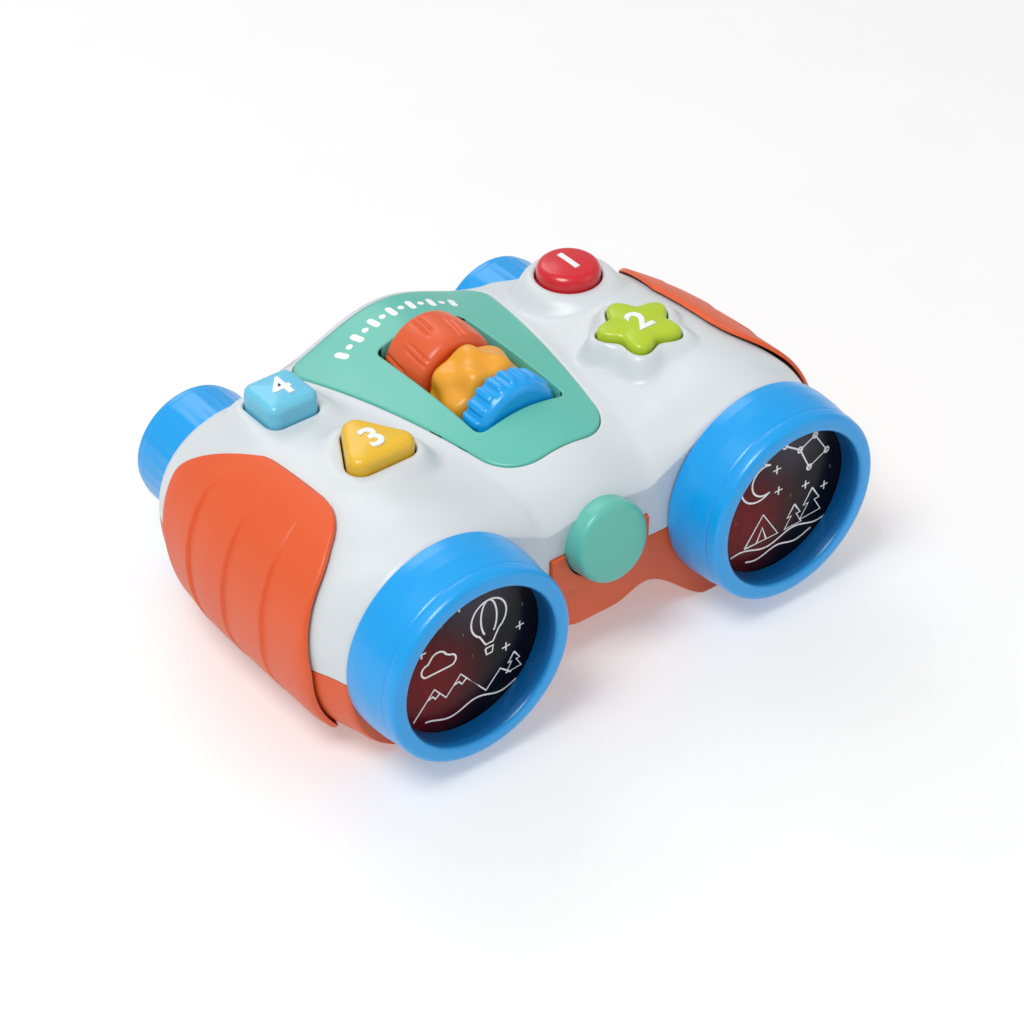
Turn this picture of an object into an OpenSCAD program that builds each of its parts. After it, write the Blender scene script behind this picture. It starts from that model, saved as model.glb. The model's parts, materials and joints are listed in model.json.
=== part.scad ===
// Toy binoculars: two moulded shells with side grips and a centre panel, three thumb wheels,
// four top buttons, a front button, twist eyecups, lit objectives and a battery drawer.
// Millimetres, +Z up, objectives towards -Y, standing on the table at Z = 0.

/* [Body] */
// Distance between the two barrel axes
barrel_gap = 115; // [112:1:118]
// Shell front face ahead of the origin
body_front = 52.5; // [51:0.5:54]
// Shell rear face behind the origin
body_back = 54; // [53:0.5:56]
// Height of the line where the two shells meet
part_z = 32.5; // [31.5:0.5:33.5]
// Gap between the two shells along that line
part_gap = 0.3; // [0.2:0.05:0.5]
// Wall thickness of the shells
wall = 2.2; // [1.8:0.1:2.6]
// Reach of a barrel outside its axis
barrel_side = 35.8; // [35:0.2:37]
// Crest height of a barrel
crest_z = 69; // [68:0.5:70]
// Fall of the crest towards the rear face
crest_fall = 14.5; // [13:0.5:15]
// Crown height of the bridge
bridge_z = 68.4; // [67.4:0.2:69.4]
// Height of the valleys beside the bridge
valley_z = 63.3; // [62.7:0.2:63.9]
// Height of the arch under the bridge
arch_z = 16.2; // [15.6:0.2:16.8]
// Half width of the flat roof of that arch
arch_w = 17.5; // [17.3:0.1:18.5]

/* [Objectives] */
// Height of the objective axes
axis_z = 36.3; // [35.5:0.1:37]
// Outer radius of an objective ring
ring_r = 32.2; // [31.6:0.2:33]
// Front lip of the rings ahead of the origin
ring_front = 73.2; // [71:0.2:76]
// Clear radius in front of a lens
aperture_r = 25.4; // [24.4:0.2:25.8]
// Outer radius of the spigot behind a ring
spigot_r = 28.2; // [27.8:0.2:28.8]
// Thickness of a lens at its rim
lens_t = 2.4; // [2:0.2:3]
// Depth of a lens behind the lip
lens_depth = 8.2; // [7:0.2:9]

/* [Eyecups] */
// Height of the eyecup axes
eye_z = 28.8; // [28:0.2:29.6]
// Outer radius of an eyecup
eye_r = 20; // [19:0.2:20.4]
// Rear rim of the eyecups behind the origin
eye_back = 73.2; // [71:0.2:76]
// Outer radius of the sleeve that an eyecup turns on
sleeve_r = 15.5; // [14.8:0.1:16]
// Number of ribs round an eyecup
eye_ribs = 30; // [20:1:40]

/* [Grips] */
// Thickness of a side grip
grip_t = 1.6; // [1.2:0.1:2]
// Height of the step at each crease
grip_step = 1; // [0.4:0.1:1.4]
// Front edge of a grip ahead of the origin
grip_front = 42.2; // [40:0.2:44]
// Rear edge of a grip behind the origin
grip_back = 39; // [36:0.2:41]

/* [Centre panel] */
// Front edge of the panel ahead of the origin
panel_front = 35.4; // [34.6:0.2:36.2]
// Rear edge of the panel behind the origin
panel_back = 52.6; // [51.6:0.1:52.8]
// Half width of the panel at its front edge
panel_front_w = 18.6; // [18.2:0.1:19]
// Half width of the panel at its rear edge
panel_back_w = 37.3; // [36.5:0.1:37.8]
// Thickness of the panel
panel_t = 2; // [1.6:0.1:2.4]
// Half width of the wheel window
window_w = 15.8; // [15.6:0.1:16.2]
// Gap round parts that are set into the shells
fit_gap = 0.25; // [0.2:0.05:0.4]

/* [Wheels] */
// Radius of the thumb wheels
wheel_r = 15; // [14:0.2:15.2]
// Height of the wheel axle
axle_z = 59.6; // [59:0.2:60.2]
// Radius of the wheel axle
axle_r = 2; // [1.5:0.1:2.4]
// Width of the rear wheel
rear_wheel_w = 19.2; // [17:0.2:19.6]
// Width of the middle wheel
middle_wheel_w = 17.2; // [16:0.2:17.6]
// Width of the front wheel
front_wheel_w = 11.2; // [10:0.2:11.6]
// Gap between the wheels and at both ends of the row
wheel_gap = 0.8; // [0.5:0.1:1]
// Front end of the wheel window ahead of the origin
window_front = 17.3; // [16.8:0.1:18]
// Radial clearance of a running fit
run_gap = 0.06; // [0.03:0.01:0.1]

/* [Buttons] */
// Rear pair of buttons, distance from the middle
rear_btn_x = 53.3; // [52:0.2:54]
// Rear pair of buttons, behind the origin
rear_btn_y = 28; // [26:0.5:29]
// Front pair of buttons, distance from the middle
front_btn_x = 48; // [47:0.2:49]
// Star button, ahead of the origin
front_btn_y = 11.5; // [10:0.5:13]
// Triangle button, ahead of the origin
triangle_y = 9.8; // [9:0.2:11]
// Top of the rear pair
rear_btn_z = 72.6; // [71:0.2:74]
// Top of the front pair
front_btn_z = 74.2; // [73:0.2:75]
// Radius of the round button
round_r = 10; // [9:0.2:10.6]
// Tip radius of the star button
star_r = 13; // [12:0.2:13.4]
// Tip radius of the triangle button
triangle_r = 12; // [11:0.2:12.4]
// Half side of the square button
square_w = 8.5; // [8:0.1:9]
// Gap round a button
btn_gap = 0.5; // [0.4:0.05:0.7]
// Push travel of a top button
btn_travel = 2; // [1:0.1:2.4]

/* [Front button] */
// Height of the front button where it leaves the shell
disc_z = 42.4; // [41.6:0.2:43]
// Radius of the front button
disc_r = 12.6; // [12:0.2:13]
// Upward tilt of its axis in degrees
disc_tilt = 10; // [6:1:13]
// How far it stands out of the shell
disc_h = 8; // [6:0.2:9]
// Push travel of the front button
disc_travel = 2.2; // [1:0.1:2.6]

/* [Battery drawer] */
// Diameter of a cell
cell_d = 10.5; // [10:0.1:10.8]
// Length of a cell
cell_len = 44.5; // [43:0.5:45.5]
// Number of cells
cells = 3; // [2:1:3]
// Radius of the speaker
speaker_r = 10.5; // [9:0.5:10.5]

/* [Hidden] */
// Sections of the body: roundings at both ends and lengths over which the sections change
barrel_x = barrel_gap / 2;
edge_turn = 0.9;
front_edge = 2;
front_flare = 4.3;
flare_len = 16;
crest_dip = 1.6;
crest_y = -18;
crest_round = 10;
side_round = 22;
rear_taper = 3.2;
taper_y = 5;
taper_len = 35;
bridge_y = 10;
bridge_fall = 7.8;
bridge_drop = 1;
brow_round = 14;
rim_round = 3;
valley_y = -3;
valley_fall = 5.2;
valley_drop = 7.3;
valley_off = 5;
flank_front = 0.35;
flank_mid = 0.15;
flank_len = 24;
belly_round = 14;
belly_n = 2.3;
arch_round = 4;
foot_cut = 0.7;
foot_in = 12.5;
foot_x = barrel_x - foot_in;
lip = 3.1;
lip_flat = 6;
lip_ramp = 12;
lip_len = 17;
boss_in = 9.5;
boss_out = 18;
red_boss = 4.6;
square_boss = 1.2;
triangle_boss = 1.6;
star_boss = 0.8;
star_waist = 0.7;
star_points = 5;
star_steps = 48;
triangle_corner = 0.36;
square_corner = 0.38;
pedestal_h = 2;
pedestal_in = 1.5;
pedestal_out = 5.5;
pedestal_steps = 5;
pedestal_sunk = 2;

// Grid of the shell skins
rows = 26;
inner_cols = 14;
outer_cols = 8;
half_cols = inner_cols + outer_cols;

// Screw posts and their screws
screw_at = [[34, -29], [34, 38], [73, 2]];
screw_r = 1.5;
screw_head_r = 3;
screw_head_t = 2.4;
screw_seat = 22;
screw_len = 20;
post_r = 3.4;
foot_post_r = 4.8;
hole_gap = 0.1;
head_gap = 0.5;

// Grips, in degrees round the barrel
grip_seat = 0.5;
grip_low = -52;
grip_top = 70;
grip_mid = 36;
grip_turn = 55;
grip_lean = 7.7;
grip_corner = 17;
grip_fade = 30;
grip_foot = 11;
grip_foot_a = 16;
grip_sweep = 31;
grip_tuck = 15;
grip_tuck_n = 1.3;
grip_bow = 2.5;
grip_edge = 0.018;
grip_edge_a = 1.5;
crease_at = [0.27, 0.52, 0.77];
crease_w = 0.012;
crease_cols = 4;
grip_rows = 12;
peg_r = 2;
peg_len = 6;
peg_at = [[-6, 40], [-8, -28]];

// Panel and window
panel_corner = 7;
panel_nose = 14;
panel_edge = 0.4;
panel_proud = 0.2;
panel_shares = [0.03, 0.35, 0.68, 0.98];
window_corner = 2.5;
skirt_h = 2.4;
skirt_t = 1;
window_back = -window_front + 4 * wheel_gap + front_wheel_w + middle_wheel_w + rear_wheel_w;
corner_steps = 5;
long_steps = 8;
short_steps = 5;
tab_w = 6;
tab_t = 1.4;
tab_hook = 1;

// Wheels
front_wheel_y = -window_front + wheel_gap + front_wheel_w / 2;
middle_wheel_y = front_wheel_y + (front_wheel_w + middle_wheel_w) / 2 + wheel_gap;
rear_wheel_y = middle_wheel_y + (middle_wheel_w + rear_wheel_w) / 2 + wheel_gap;
wheel_chamfer = 1.2;
groove_n = 18;
groove_depth = 0.5;
groove_pow = 6;
lobe_n = 7;
lobe_depth = 3;
lobe_pow = 0.8;
bar_n = 20;
bar_depth = 1.1;
bar_gain = 1.6;
bar_bias = 0.3;
wheel_steps = 90;
bar_steps = 120;
cheek_t = 2;
cheek_w = 22;
cheek_off = 1.4;
axle_out = 0.8;
cradle_gap = 1.6;

// Buttons, boards and domes
flange_out = 1.4;
flange_t = 1.5;
flange_gap = 0.8;
stem_r = 3;
board_t = 1.6;
board_z = 46;
board_w = 24;
board_len = 58;
board_x = (rear_btn_x + front_btn_x) / 2;
board_y = (rear_btn_y - front_btn_y) / 2;
board_post = 2.6;
board_post_x = 8;
dome_h = 4;
dome_r = 4;
dome_top_r = 2.4;
cap_round = 3;
cap_crown = 0.4;
cap_steps = [[4, 0.97], [1.8, 0.93], [0.7, 0.85], [0.2, 0.72], [0, 0.5]];
seat_gap = 0.1;
far = 120;

// Front button
disc_off = 0.3;
disc_y = -body_front - disc_off;
disc_edge = 2.2;
disc_dome = 0.9;
disc_flange = 1.8;
disc_flange_z = -5.6;
disc_board = 18;
disc_rib_w = 14;
collar_w = 17.8;
collar_drop = 1.2;
collar_z = disc_z - collar_drop;
collar_proud = 1.2;

// Objectives
ring_back = body_front + fit_gap;
spigot_len = 5;
spigot_t = 1.3;
ring_foot = 0.8;
ring_lean = 0.3;
ring_skirt = 8;
lip_in = 1.3;
lip_r = ring_r - lip_in;
lip_back = 5.4;
lip_groove = 0.6;
lip_bead = [[0.3, 4], [-0.2, 2], [-1.2, 0.6], [-2.6, 0]];
lip_mouth = [[1.2, 0.4], [0, 1.6]];
lens_front = ring_front - lens_depth;
lens_dome = 0.9;
lens_swell = 0.7;
cup_gap = 0.3;
cup_t = 1.4;
cup_r = spigot_r - spigot_t - cup_gap;
cup_front = lens_front - lens_t - seat_gap;
cup_mid = 46;
cup_back = 39;
cup_back_r = 14;
led_r = 2.5;
led_h = 4.6;
led_round = 0.7;
lamp_board_r = 13;

// Eyecups
eye_gap = 0.4;
eye_front = body_back + eye_gap;
eye_round = 1.4;
eye_rim = 2.9;
eye_step = 4;
rib_h = 0.35;
rib_parts = 4;
eye_lip = [[1, 0.8], [2, 0]];
collar_out = 1.1;
collar_r = sleeve_r + collar_out;
collar_t = 1.2;
sleeve_t = 3;
sleeve_flange_out = 3;
sleeve_flange_r = sleeve_r + sleeve_flange_out;
sleeve_flange_t = 2;
eye_lens_in = 4;
eye_lens_y = body_back + eye_lens_in;
eye_lens_t = 2;
eye_lens_step = 1.5;
eye_lens_swell = 0.9;

// Battery tray, main board, speaker and switch
tray_t = 1.6;
door_t = 1.6;
door_lap = 0.4;
door_w = arch_w + door_lap;
cell_gap = 0.5;
cell_lift = 0.2;
cell_nub = 1;
cell_pitch = cell_d + cell_gap;
cell_z = arch_z + door_t + cell_lift + cell_d / 2;
contact_t = 0.5;
contact_gap = 0.9;
spring_r = 3;
contact_share = 0.7;
tray_len = cell_len + 2 * (contact_t + contact_gap);
tray_side = 0.3;
tray_w = cells * cell_pitch + 2 * tray_side;
tray_top = cell_z + cell_d / 2 + tray_side;
door_end = 0.5;
door_len = tray_len + 2 * (tray_t + door_end);
door_ear_r = 4;
door_ear_out = 1.5;
door_ear_y = -door_len / 2 - door_ear_out;
door_screw_len = 10;
standoff_h = 2;
main_w = 26;
main_len = 46;
leg_x = 16.5;
leg_y = 17;
leg_r = 2.4;
cradle_t = 1.8;
cradle_z = axle_z - wheel_r - cradle_gap - cradle_t;
cradle_w = 2 * (leg_x + leg_r);
speaker_y = 38;
speaker_h = 7;
speaker_hole_r = 1.4;
speaker_holes = 6;
magnet_share = 0.6;
clamp_share = 0.93;
clamp_t = 1.5;
knob_y = -36;
knob_travel = 5;
knob_w = 5;
knob_d = 4;
knob_gap = 0.4;
knob_lift = 0.35;
knob_proud = 0.8;
knob_plate = 1.4;
switch_w = 13;
switch_d = 6;
switch_h = 4;

$fn = 64;

// Small helpers
function lerp(a, b, t) = a + (b - a) * t;
function clamp01(t) = max(0, min(1, t));
function smooth(t) = let (u = clamp01(t)) u * u * (3 - 2 * u);
function run_out(t) = t > 0 ? t * t : 0;
function quarter(t) = 1 - sqrt(1 - pow(clamp01(t), 2));
function round_off(d, r) = r * quarter(edge_turn * clamp01((r - d) / r));
function wave(t) = (1 + cos(180 * clamp01(t))) / 2;
function front_d(y) = body_front + y;
function rear_d(y) = body_back - y;
function flare(y) = 1 - smooth(front_d(y) / flare_len);

// Sections of the body along Y: outer reach, crest, bridge crown, valley and floor
function side(y) = barrel_side - front_flare * flare(y)
    - rear_taper * smooth((y - taper_y) / taper_len)
    - round_off(rear_d(y), side_round) - round_off(front_d(y), front_edge);
function crest(y) = crest_z - crest_dip * flare(y)
    - crest_fall * run_out((y - crest_y) / (body_back - crest_y))
    - round_off(rear_d(y), crest_round) - round_off(front_d(y), front_edge);
function ends(y) = round_off(front_d(y), brow_round) + round_off(rear_d(y), rim_round);
function middle(y) = bridge_z - ends(y)
    - bridge_fall * run_out((bridge_y - y) / (body_front + bridge_y))
    - bridge_drop * run_out((y - bridge_y) / (body_back - bridge_y));
function valley(y) = valley_z - ends(y)
    - valley_fall * run_out((valley_y - y) / (body_front + valley_y))
    - valley_drop * run_out((y - valley_y) / (body_back - valley_y));
function panel_half(y) =
    lerp(panel_front_w, panel_back_w, (y + panel_front) / (panel_back + panel_front));
function valley_x(y) = panel_half(y) + valley_off;
function flank(t, y) = lerp(smooth(t), sqrt(1 - (1 - t) * (1 - t)),
    lerp(flank_front, flank_mid, smooth(front_d(y) / flank_len)));
function floor_z(y) = -foot_cut + round_off(rear_d(y), belly_round);
function arch(x, y) = arch_z + round_off(rear_d(y), arch_round)
    - lip * wave((x - lip_flat) / lip_ramp) * (1 - smooth(front_d(y) / lip_len));

// Height of the outer skin over a point of the plan, and of the underside
function near(x, y, bx, by) =
    1 - smooth((norm([x - bx, y - by]) - boss_in) / (boss_out - boss_in));
function boss(x, y) = red_boss * near(x, y, rear_btn_x, rear_btn_y)
    + square_boss * near(x, y, -rear_btn_x, rear_btn_y)
    + star_boss * near(x, y, front_btn_x, -front_btn_y)
    + triangle_boss * near(x, y, -front_btn_x, -triangle_y);
function skin(x, y) = let (vx = valley_x(y))
    x <= vx ? lerp(valley(y), middle(y), wave(x / vx))
    : x <= barrel_x ? lerp(valley(y), crest(y), flank((x - vx) / (barrel_x - vx), y))
    : part_z + (crest(y) - part_z) * sqrt(max(0, 1 - pow((x - barrel_x) / side(y), 2)));
function top(x, y) = skin(abs(x), y) + boss(x, y);
function belly(x, y) = let (a = abs(x))
    a <= arch_w ? arch(a, y)
    : a <= foot_x ? lerp(arch(arch_w, y), floor_z(y), smooth((a - arch_w) / (foot_x - arch_w)))
    : a <= barrel_x ? floor_z(y)
    : part_z - (part_z - floor_z(y))
        * pow(max(0, 1 - pow((a - barrel_x) / side(y), belly_n)), 1 / belly_n);
function roof_low(x, y, r) =
    min([for (a = [0:30:330]) top(x + r * cos(a), y + r * sin(a))]) - wall;
function floor_high(x, y, r) =
    max([for (a = [0:30:330]) belly(x + r * cos(a), y + r * sin(a))]) + wall;

// Grid points of the upper and lower skins, set in by t
function row_y(k, t) = lerp(-body_front + t, body_back - t, (1 - cos(180 * k / rows)) / 2);
function col_a(m) = 90 * (m - inner_cols) / outer_cols;
function upper_pt(j, y, t) = let (m = abs(j), s = sign(j), base = part_z + part_gap / 2)
    m <= inner_cols
    ? let (x = s * barrel_x * m / inner_cols) [x, y, top(x, y) - t]
    : let (x = barrel_x + (side(y) - t) * sin(col_a(m)),
           z = base + (crest(y) - t - base) * cos(col_a(m)))
      [s * x, y, z + boss(s * x, y) * cos(col_a(m))];
function lower_pt(j, y, t) = let (m = abs(j), s = sign(j), base = part_z - part_gap / 2)
    m <= inner_cols
    ? let (x = barrel_x * m / inner_cols) [s * x, y, belly(x, y) + t]
    : let (c = pow(cos(col_a(m)), 2 / belly_n), n = pow(sin(col_a(m)), 2 / belly_n))
      [s * (barrel_x + (side(y) - t) * n), y, base - (base - floor_z(y) - t) * c];
function skin_grid(up, t) = [for (k = [0:rows], j = [-half_cols:half_cols])
    up ? upper_pt(j, row_y(k, t), t) : lower_pt(j, row_y(k, t), t)];

// One moulded shell: outer skin, inner skin, end walls and the rim between them
function turned(f, flip) = flip ? [for (i = [len(f) - 1:-1:0]) f[i]] : f;
function skin_faces(nr, nc, o) = [for (i = [0:nr - 2], j = [0:nc - 2], k = [0:1])
    let (a = o + i * nc + j, b = a + 1, c = a + nc, d = c + 1) k == 0 ? [a, c, d] : [a, d, b]];
function end_feet(grid, nc, r) = [for (j = [1:nc - 2])
    let (p = grid[r * nc + j]) [p[0], p[1], grid[r * nc][2]]];
function foot(j, r, nc, o, q) = j == 0 || j == nc - 1 ? o + r * nc + j : q + j - 1;
function end_strip(r, nc, o, q) = [for (j = [0:nc - 2]) let (a = o + r * nc + j) concat(
    j > 0 ? [foot(j, r, nc, o, q)] : [], [a, a + 1], j < nc - 2 ? [foot(j + 1, r, nc, o, q)] : [])];
function end_rim(r, nc, n, q, s) = [for (j = [0:nc - 2])
    [foot(j, r, nc, 0, q), foot(j + 1, r, nc, 0, q), foot(j + 1, r, nc, n, s), foot(j, r, nc, n, s)]];
function side_rims(nr, nc, n) = concat(
    [for (i = [0:nr - 2]) let (a = i * nc, c = a + nc) [c, a, a + n, c + n]],
    [for (i = [0:nr - 2]) let (b = i * nc + nc - 1, d = b + nc) [b, d, d + n, b + n]]);

module shell_solid(up) {
    nr = rows + 1;
    nc = 2 * half_cols + 1;
    n = nr * nc;
    outer = skin_grid(up, 0);
    inner = skin_grid(up, wall);
    // Points along the parting line at the front and back, below each point of the end rows
    q = [for (k = [0:3]) 2 * n + k * (nc - 2)];
    points = concat(outer, inner, end_feet(outer, nc, 0), end_feet(outer, nc, rows),
        end_feet(inner, nc, 0), end_feet(inner, nc, rows));
    forwards = concat(skin_faces(nr, nc, 0), end_strip(0, nc, 0, q[0]), end_strip(rows, nc, n, q[3]),
        end_rim(0, nc, n, q[0], q[2]), side_rims(nr, nc, n));
    backwards = concat(skin_faces(nr, nc, n), end_strip(rows, nc, 0, q[1]), end_strip(0, nc, n, q[2]),
        end_rim(rows, nc, n, q[1], q[3]));
    polyhedron(points, concat(
        [for (f = forwards) turned(f, !up)], [for (f = backwards) turned(f, up)]), convexity = 8);
}

// Closed sheet between two grids of points, as the grips are
module sheet_solid(upper, lower, nr, nc) {
    n = nr * nc;
    rim = concat(
        [for (j = [0:nc - 1]) j], [for (i = [1:nr - 1]) i * nc + nc - 1],
        [for (j = [nc - 2:-1:0]) (nr - 1) * nc + j], [for (i = [nr - 2:-1:1]) i * nc]);
    m = len(rim);
    polyhedron(concat(upper, lower), concat(
        skin_faces(nr, nc, 0),
        [for (f = skin_faces(nr, nc, n)) turned(f, true)],
        [for (i = [0:m - 1]) let (p = rim[i], q = rim[(i + 1) % m]) [p, q, q + n]],
        [for (i = [0:m - 1]) let (p = rim[i], q = rim[(i + 1) % m]) [p, q + n, p + n]]),
        convexity = 8);
}

// Solid of stacked rings with flat ends, as the button caps are
module ring_stack(rings) {
    n = len(rings[0]);
    last = (len(rings) - 1) * n;
    polyhedron([for (r = rings) each r], concat(
        [for (k = [0:len(rings) - 2], j = [0:n - 1], h = [0:1])
            let (a = k * n + j, b = k * n + (j + 1) % n, c = a + n, d = b + n)
            h == 0 ? [a, c, d] : [a, d, b]],
        [[for (j = [0:n - 1]) j]], [[for (j = [n - 1:-1:0]) last + j]]), convexity = 4);
}

// Solid of rings that close on the first, as the panel round its window is
module ring_loop(rings) {
    n = len(rings[0]);
    m = len(rings);
    polyhedron([for (r = rings) each r],
        [for (k = [0:m - 1], j = [0:n - 1], h = [0:1])
            let (p = k * n, q = ((k + 1) % m) * n, i = (j + 1) % n)
            h == 0 ? [p + j, p + i, q + i] : [p + j, q + i, q + j]], convexity = 8);
}

// Rounded outline, four-cornered and mirror-symmetric in X, grown by g
function arc(c, r, a, b) = [for (i = [0:corner_steps]) let (t = lerp(a, b, i / corner_steps))
    c + r * [cos(t), sin(t)]];
function between(p, q, n) = [for (i = [1:n - 1]) lerp(p, q, i / n)];
function flat_sides(y0, y1, w0, w1, r0, r1, g) = let (
    a = atan2(y1 - y0, w1 - w0),
    fr = arc([w0 - r0 * tan(a / 2), y0 + r0], r0 + g, -90, a - 90),
    br = arc([w1 - r1 / tan(a / 2), y1 - r1], r1 + g, a - 90, 90),
    bl = [for (i = [corner_steps:-1:0]) [-br[i][0], br[i][1]]],
    fl = [for (i = [corner_steps:-1:0]) [-fr[i][0], fr[i][1]]])
    concat(fr, between(fr[corner_steps], br[0], long_steps),
        br, between(br[corner_steps], bl[0], short_steps),
        bl, between(bl[corner_steps], fl[0], long_steps),
        fl, between(fl[corner_steps], fr[0], short_steps));
function panel_outline(g) = flat_sides(
    -panel_front, panel_back, panel_front_w, panel_back_w, panel_nose, panel_corner, g);
function window_outline(g) = flat_sides(
    -window_front, window_back, window_w, window_w, window_corner, window_corner, g);
function on_skin(outline, drop) =
    [for (p = outline) [p[0], p[1], top(p[0], p[1]) + panel_proud - drop]];
function panel_ring(s, drop) = let (w = window_outline(0), o = panel_outline(0))
    on_skin([for (i = [0:len(o) - 1]) lerp(w[i], o[i], s)], drop);
function opening_low() =
    min([for (p = panel_outline(fit_gap)) top(p[0], p[1])]) - 2 * wall;

// Button outlines, each with its tip towards the rear, grown by g
function rounded(n, reach, r, g) = [for (i = [0:n - 1], k = [0:corner_steps])
    let (a = 90 + 360 * i / n, t = a + (k / corner_steps - 0.5) * 360 / n)
    (reach - r) * [cos(a), sin(a)] + (r + g) * [cos(t), sin(t)]];
function star_reach(a) =
    star_r * (star_waist + (1 - star_waist) * pow(cos(star_points * (a - 90) / 2), 2));
function star_outline(g) = [for (k = [0:star_steps - 1]) let (a = 360 * k / star_steps)
    (star_reach(a) + g) * [cos(a), sin(a)]];
function triangle_outline(g) = rounded(3, triangle_r, triangle_r * triangle_corner, g);
function square_outline(g) = let (r = square_w * square_corner)
    [for (p = rounded(4, (square_w - r) * sqrt(2) + r, r, g))
        [(p[0] - p[1]) / sqrt(2), (p[0] + p[1]) / sqrt(2)]];
function square_tip() = square_w * (sqrt(2) - square_corner * (sqrt(2) - 1));

module at_barrel(s, z) { translate([s * barrel_x, 0, z]) children(); }
module forward() { rotate([90, 0, 0]) children(); }
module rearward() { rotate([-90, 0, 0]) children(); }
module both_sides() { for (s = [-1, 1]) translate([s * barrel_x, 0, 0]) children(); }
module at_disc() { translate([0, disc_y, disc_z]) rotate([90 - disc_tilt, 0, 0]) children(); }
module at_screws() { for (p = screw_at, s = [-1, 1]) translate([s * p[0], p[1], 0]) children(); }

// Soft star-shaped pedestal that rises out of the skin round the star button
function pedestal() = let (z = top(front_btn_x, -front_btn_y))
    [for (k = [0:pedestal_steps + pedestal_sunk])
        let (g = lerp(pedestal_out, pedestal_in, max(0, k - pedestal_sunk) / pedestal_steps),
             rise = smooth(k / (pedestal_steps + pedestal_sunk)))
        [for (p = star_outline(g)) [p[0], p[1], z - wall + (wall + pedestal_h) * rise]]];

// Holes that both shells share
module shell_holes() {
    both_sides() {
        translate([0, 0, axis_z]) forward()
            translate([0, 0, body_front - 2 * wall])
                cylinder(h = 4 * wall, r = spigot_r + fit_gap);
        translate([0, 0, eye_z]) rearward()
            translate([0, 0, body_back - 2 * wall]) cylinder(h = 4 * wall, r = sleeve_r + fit_gap);
    }
    at_disc() translate([0, 0, -3 * wall]) cylinder(h = disc_h + 4 * wall, r = disc_r + btn_gap);
    for (s = [-1, 1], p = peg_at)
        translate([s * barrel_x, p[0], grip_z(p[1], p[0], 0)]) rotate([0, s * 90, 0])
            cylinder(h = barrel_side + wall, r = peg_r + fit_gap);
}

module upper_shell() {
    color("whitesmoke") difference() {
        union() {
            shell_solid(true);
            for (p = screw_at, s = [-1, 1]) translate([s * p[0], p[1], part_z + part_gap / 2])
                cylinder(h = roof_low(p[0], p[1], post_r) + wall / 2 - part_z, r = post_r);
            for (s = [-1, 1], o = [-1, 1])
                translate([s * (board_x + o * board_post_x), board_y, board_z])
                    cylinder(h = roof_low(board_x + o * board_post_x, board_y, board_post)
                        + wall / 2 - board_z, r = board_post);
            button_spot(1, -1) ring_stack(pedestal());
        }
        shell_holes();
        translate([0, 0, opening_low()]) linear_extrude(far) polygon(panel_outline(fit_gap));
        translate([0, 0, axis_z]) {
            button_spot(1, 1) cylinder(h = far, r = round_r + btn_gap);
            button_spot(1, -1) linear_extrude(far) polygon(star_outline(btn_gap));
            button_spot(-1, -1) linear_extrude(far) polygon(triangle_outline(btn_gap));
            button_spot(-1, 1) linear_extrude(far) polygon(square_outline(btn_gap));
        }
        at_screws() cylinder(h = screw_seat + screw_len + wall, r = screw_r + hole_gap);
        translate([-collar_w - part_gap, -body_front - far, 0])
            cube([2 * (collar_w + part_gap), far + wall + part_gap, collar_z + part_gap]);
    }
}

module lower_shell() {
    color("orangered") difference() {
        union() {
            shell_solid(false);
            for (p = screw_at, s = [-1, 1])
                translate([s * p[0], p[1], floor_high(p[0], p[1], foot_post_r) - wall / 2])
                    cylinder(h = part_z - part_gap / 2 - floor_high(p[0], p[1], foot_post_r) + wall / 2,
                        r = foot_post_r);
            translate([-collar_w, -body_front - collar_proud, part_z - 2 * wall])
                cube([2 * collar_w, collar_proud + wall, collar_z - part_z + 2 * wall]);
            battery_tray();
            at_disc() translate([-disc_rib_w / 2, -disc_z + arch_z + wall, disc_rib_z()])
                cube([disc_rib_w, disc_z - arch_z + disc_board / 4, wall]);
        }
        shell_holes();
        translate([-far, -far, -far]) cube([2 * far, 2 * far, far]);
        at_screws() {
            translate([0, 0, -wall]) cylinder(h = screw_seat + wall, r = screw_head_r + head_gap);
            cylinder(h = part_z, r = screw_r + hole_gap);
        }
        translate([0, 0, arch_z - door_t])
            linear_extrude(2 * door_t) door_outline(fit_gap);
        translate([-tray_w / 2, -tray_len / 2, arch_z - wall])
            cube([tray_w, tray_len, tray_top - arch_z + wall]);
        translate([0, door_ear_y, arch_z]) cylinder(h = door_screw_len + wall, r = screw_r + hole_gap);
        translate([0, speaker_y, arch_z - wall]) {
            cylinder(h = 3 * wall, r = speaker_hole_r);
            for (a = [0:360 / speaker_holes:359]) rotate(a) translate([speaker_r / 2, 0, 0])
                cylinder(h = 3 * wall, r = speaker_hole_r);
        }
        translate([-(knob_w + knob_travel) / 2 - knob_gap, knob_y - knob_d / 2 - knob_gap, arch_z - wall])
            cube([knob_w + knob_travel + 2 * knob_gap, knob_d + 2 * knob_gap, 3 * wall]);
    }
}

// Walls and roof of the battery tray, with the boss of the door screw and board standoffs
module battery_tray() {
    translate([-tray_w / 2 - tray_t, -tray_len / 2 - tray_t, arch_z + wall / 2])
        cube([tray_w + 2 * tray_t, tray_len + 2 * tray_t, tray_top + tray_t - arch_z - wall / 2]);
    translate([0, door_ear_y, arch_z + wall / 2])
        cylinder(h = door_screw_len, r = door_ear_r);
    for (x = [-1, 1], y = [-1, 1])
        translate([x * (main_w / 2 - board_post), y * (main_len / 2 - board_post), tray_top])
            cylinder(h = tray_t + standoff_h, r = board_post);
}

module door_outline(g) {
    square([2 * (door_w + g), door_len + 2 * g], center = true);
    translate([0, door_ear_y]) circle(r = door_ear_r + g);
}

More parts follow.
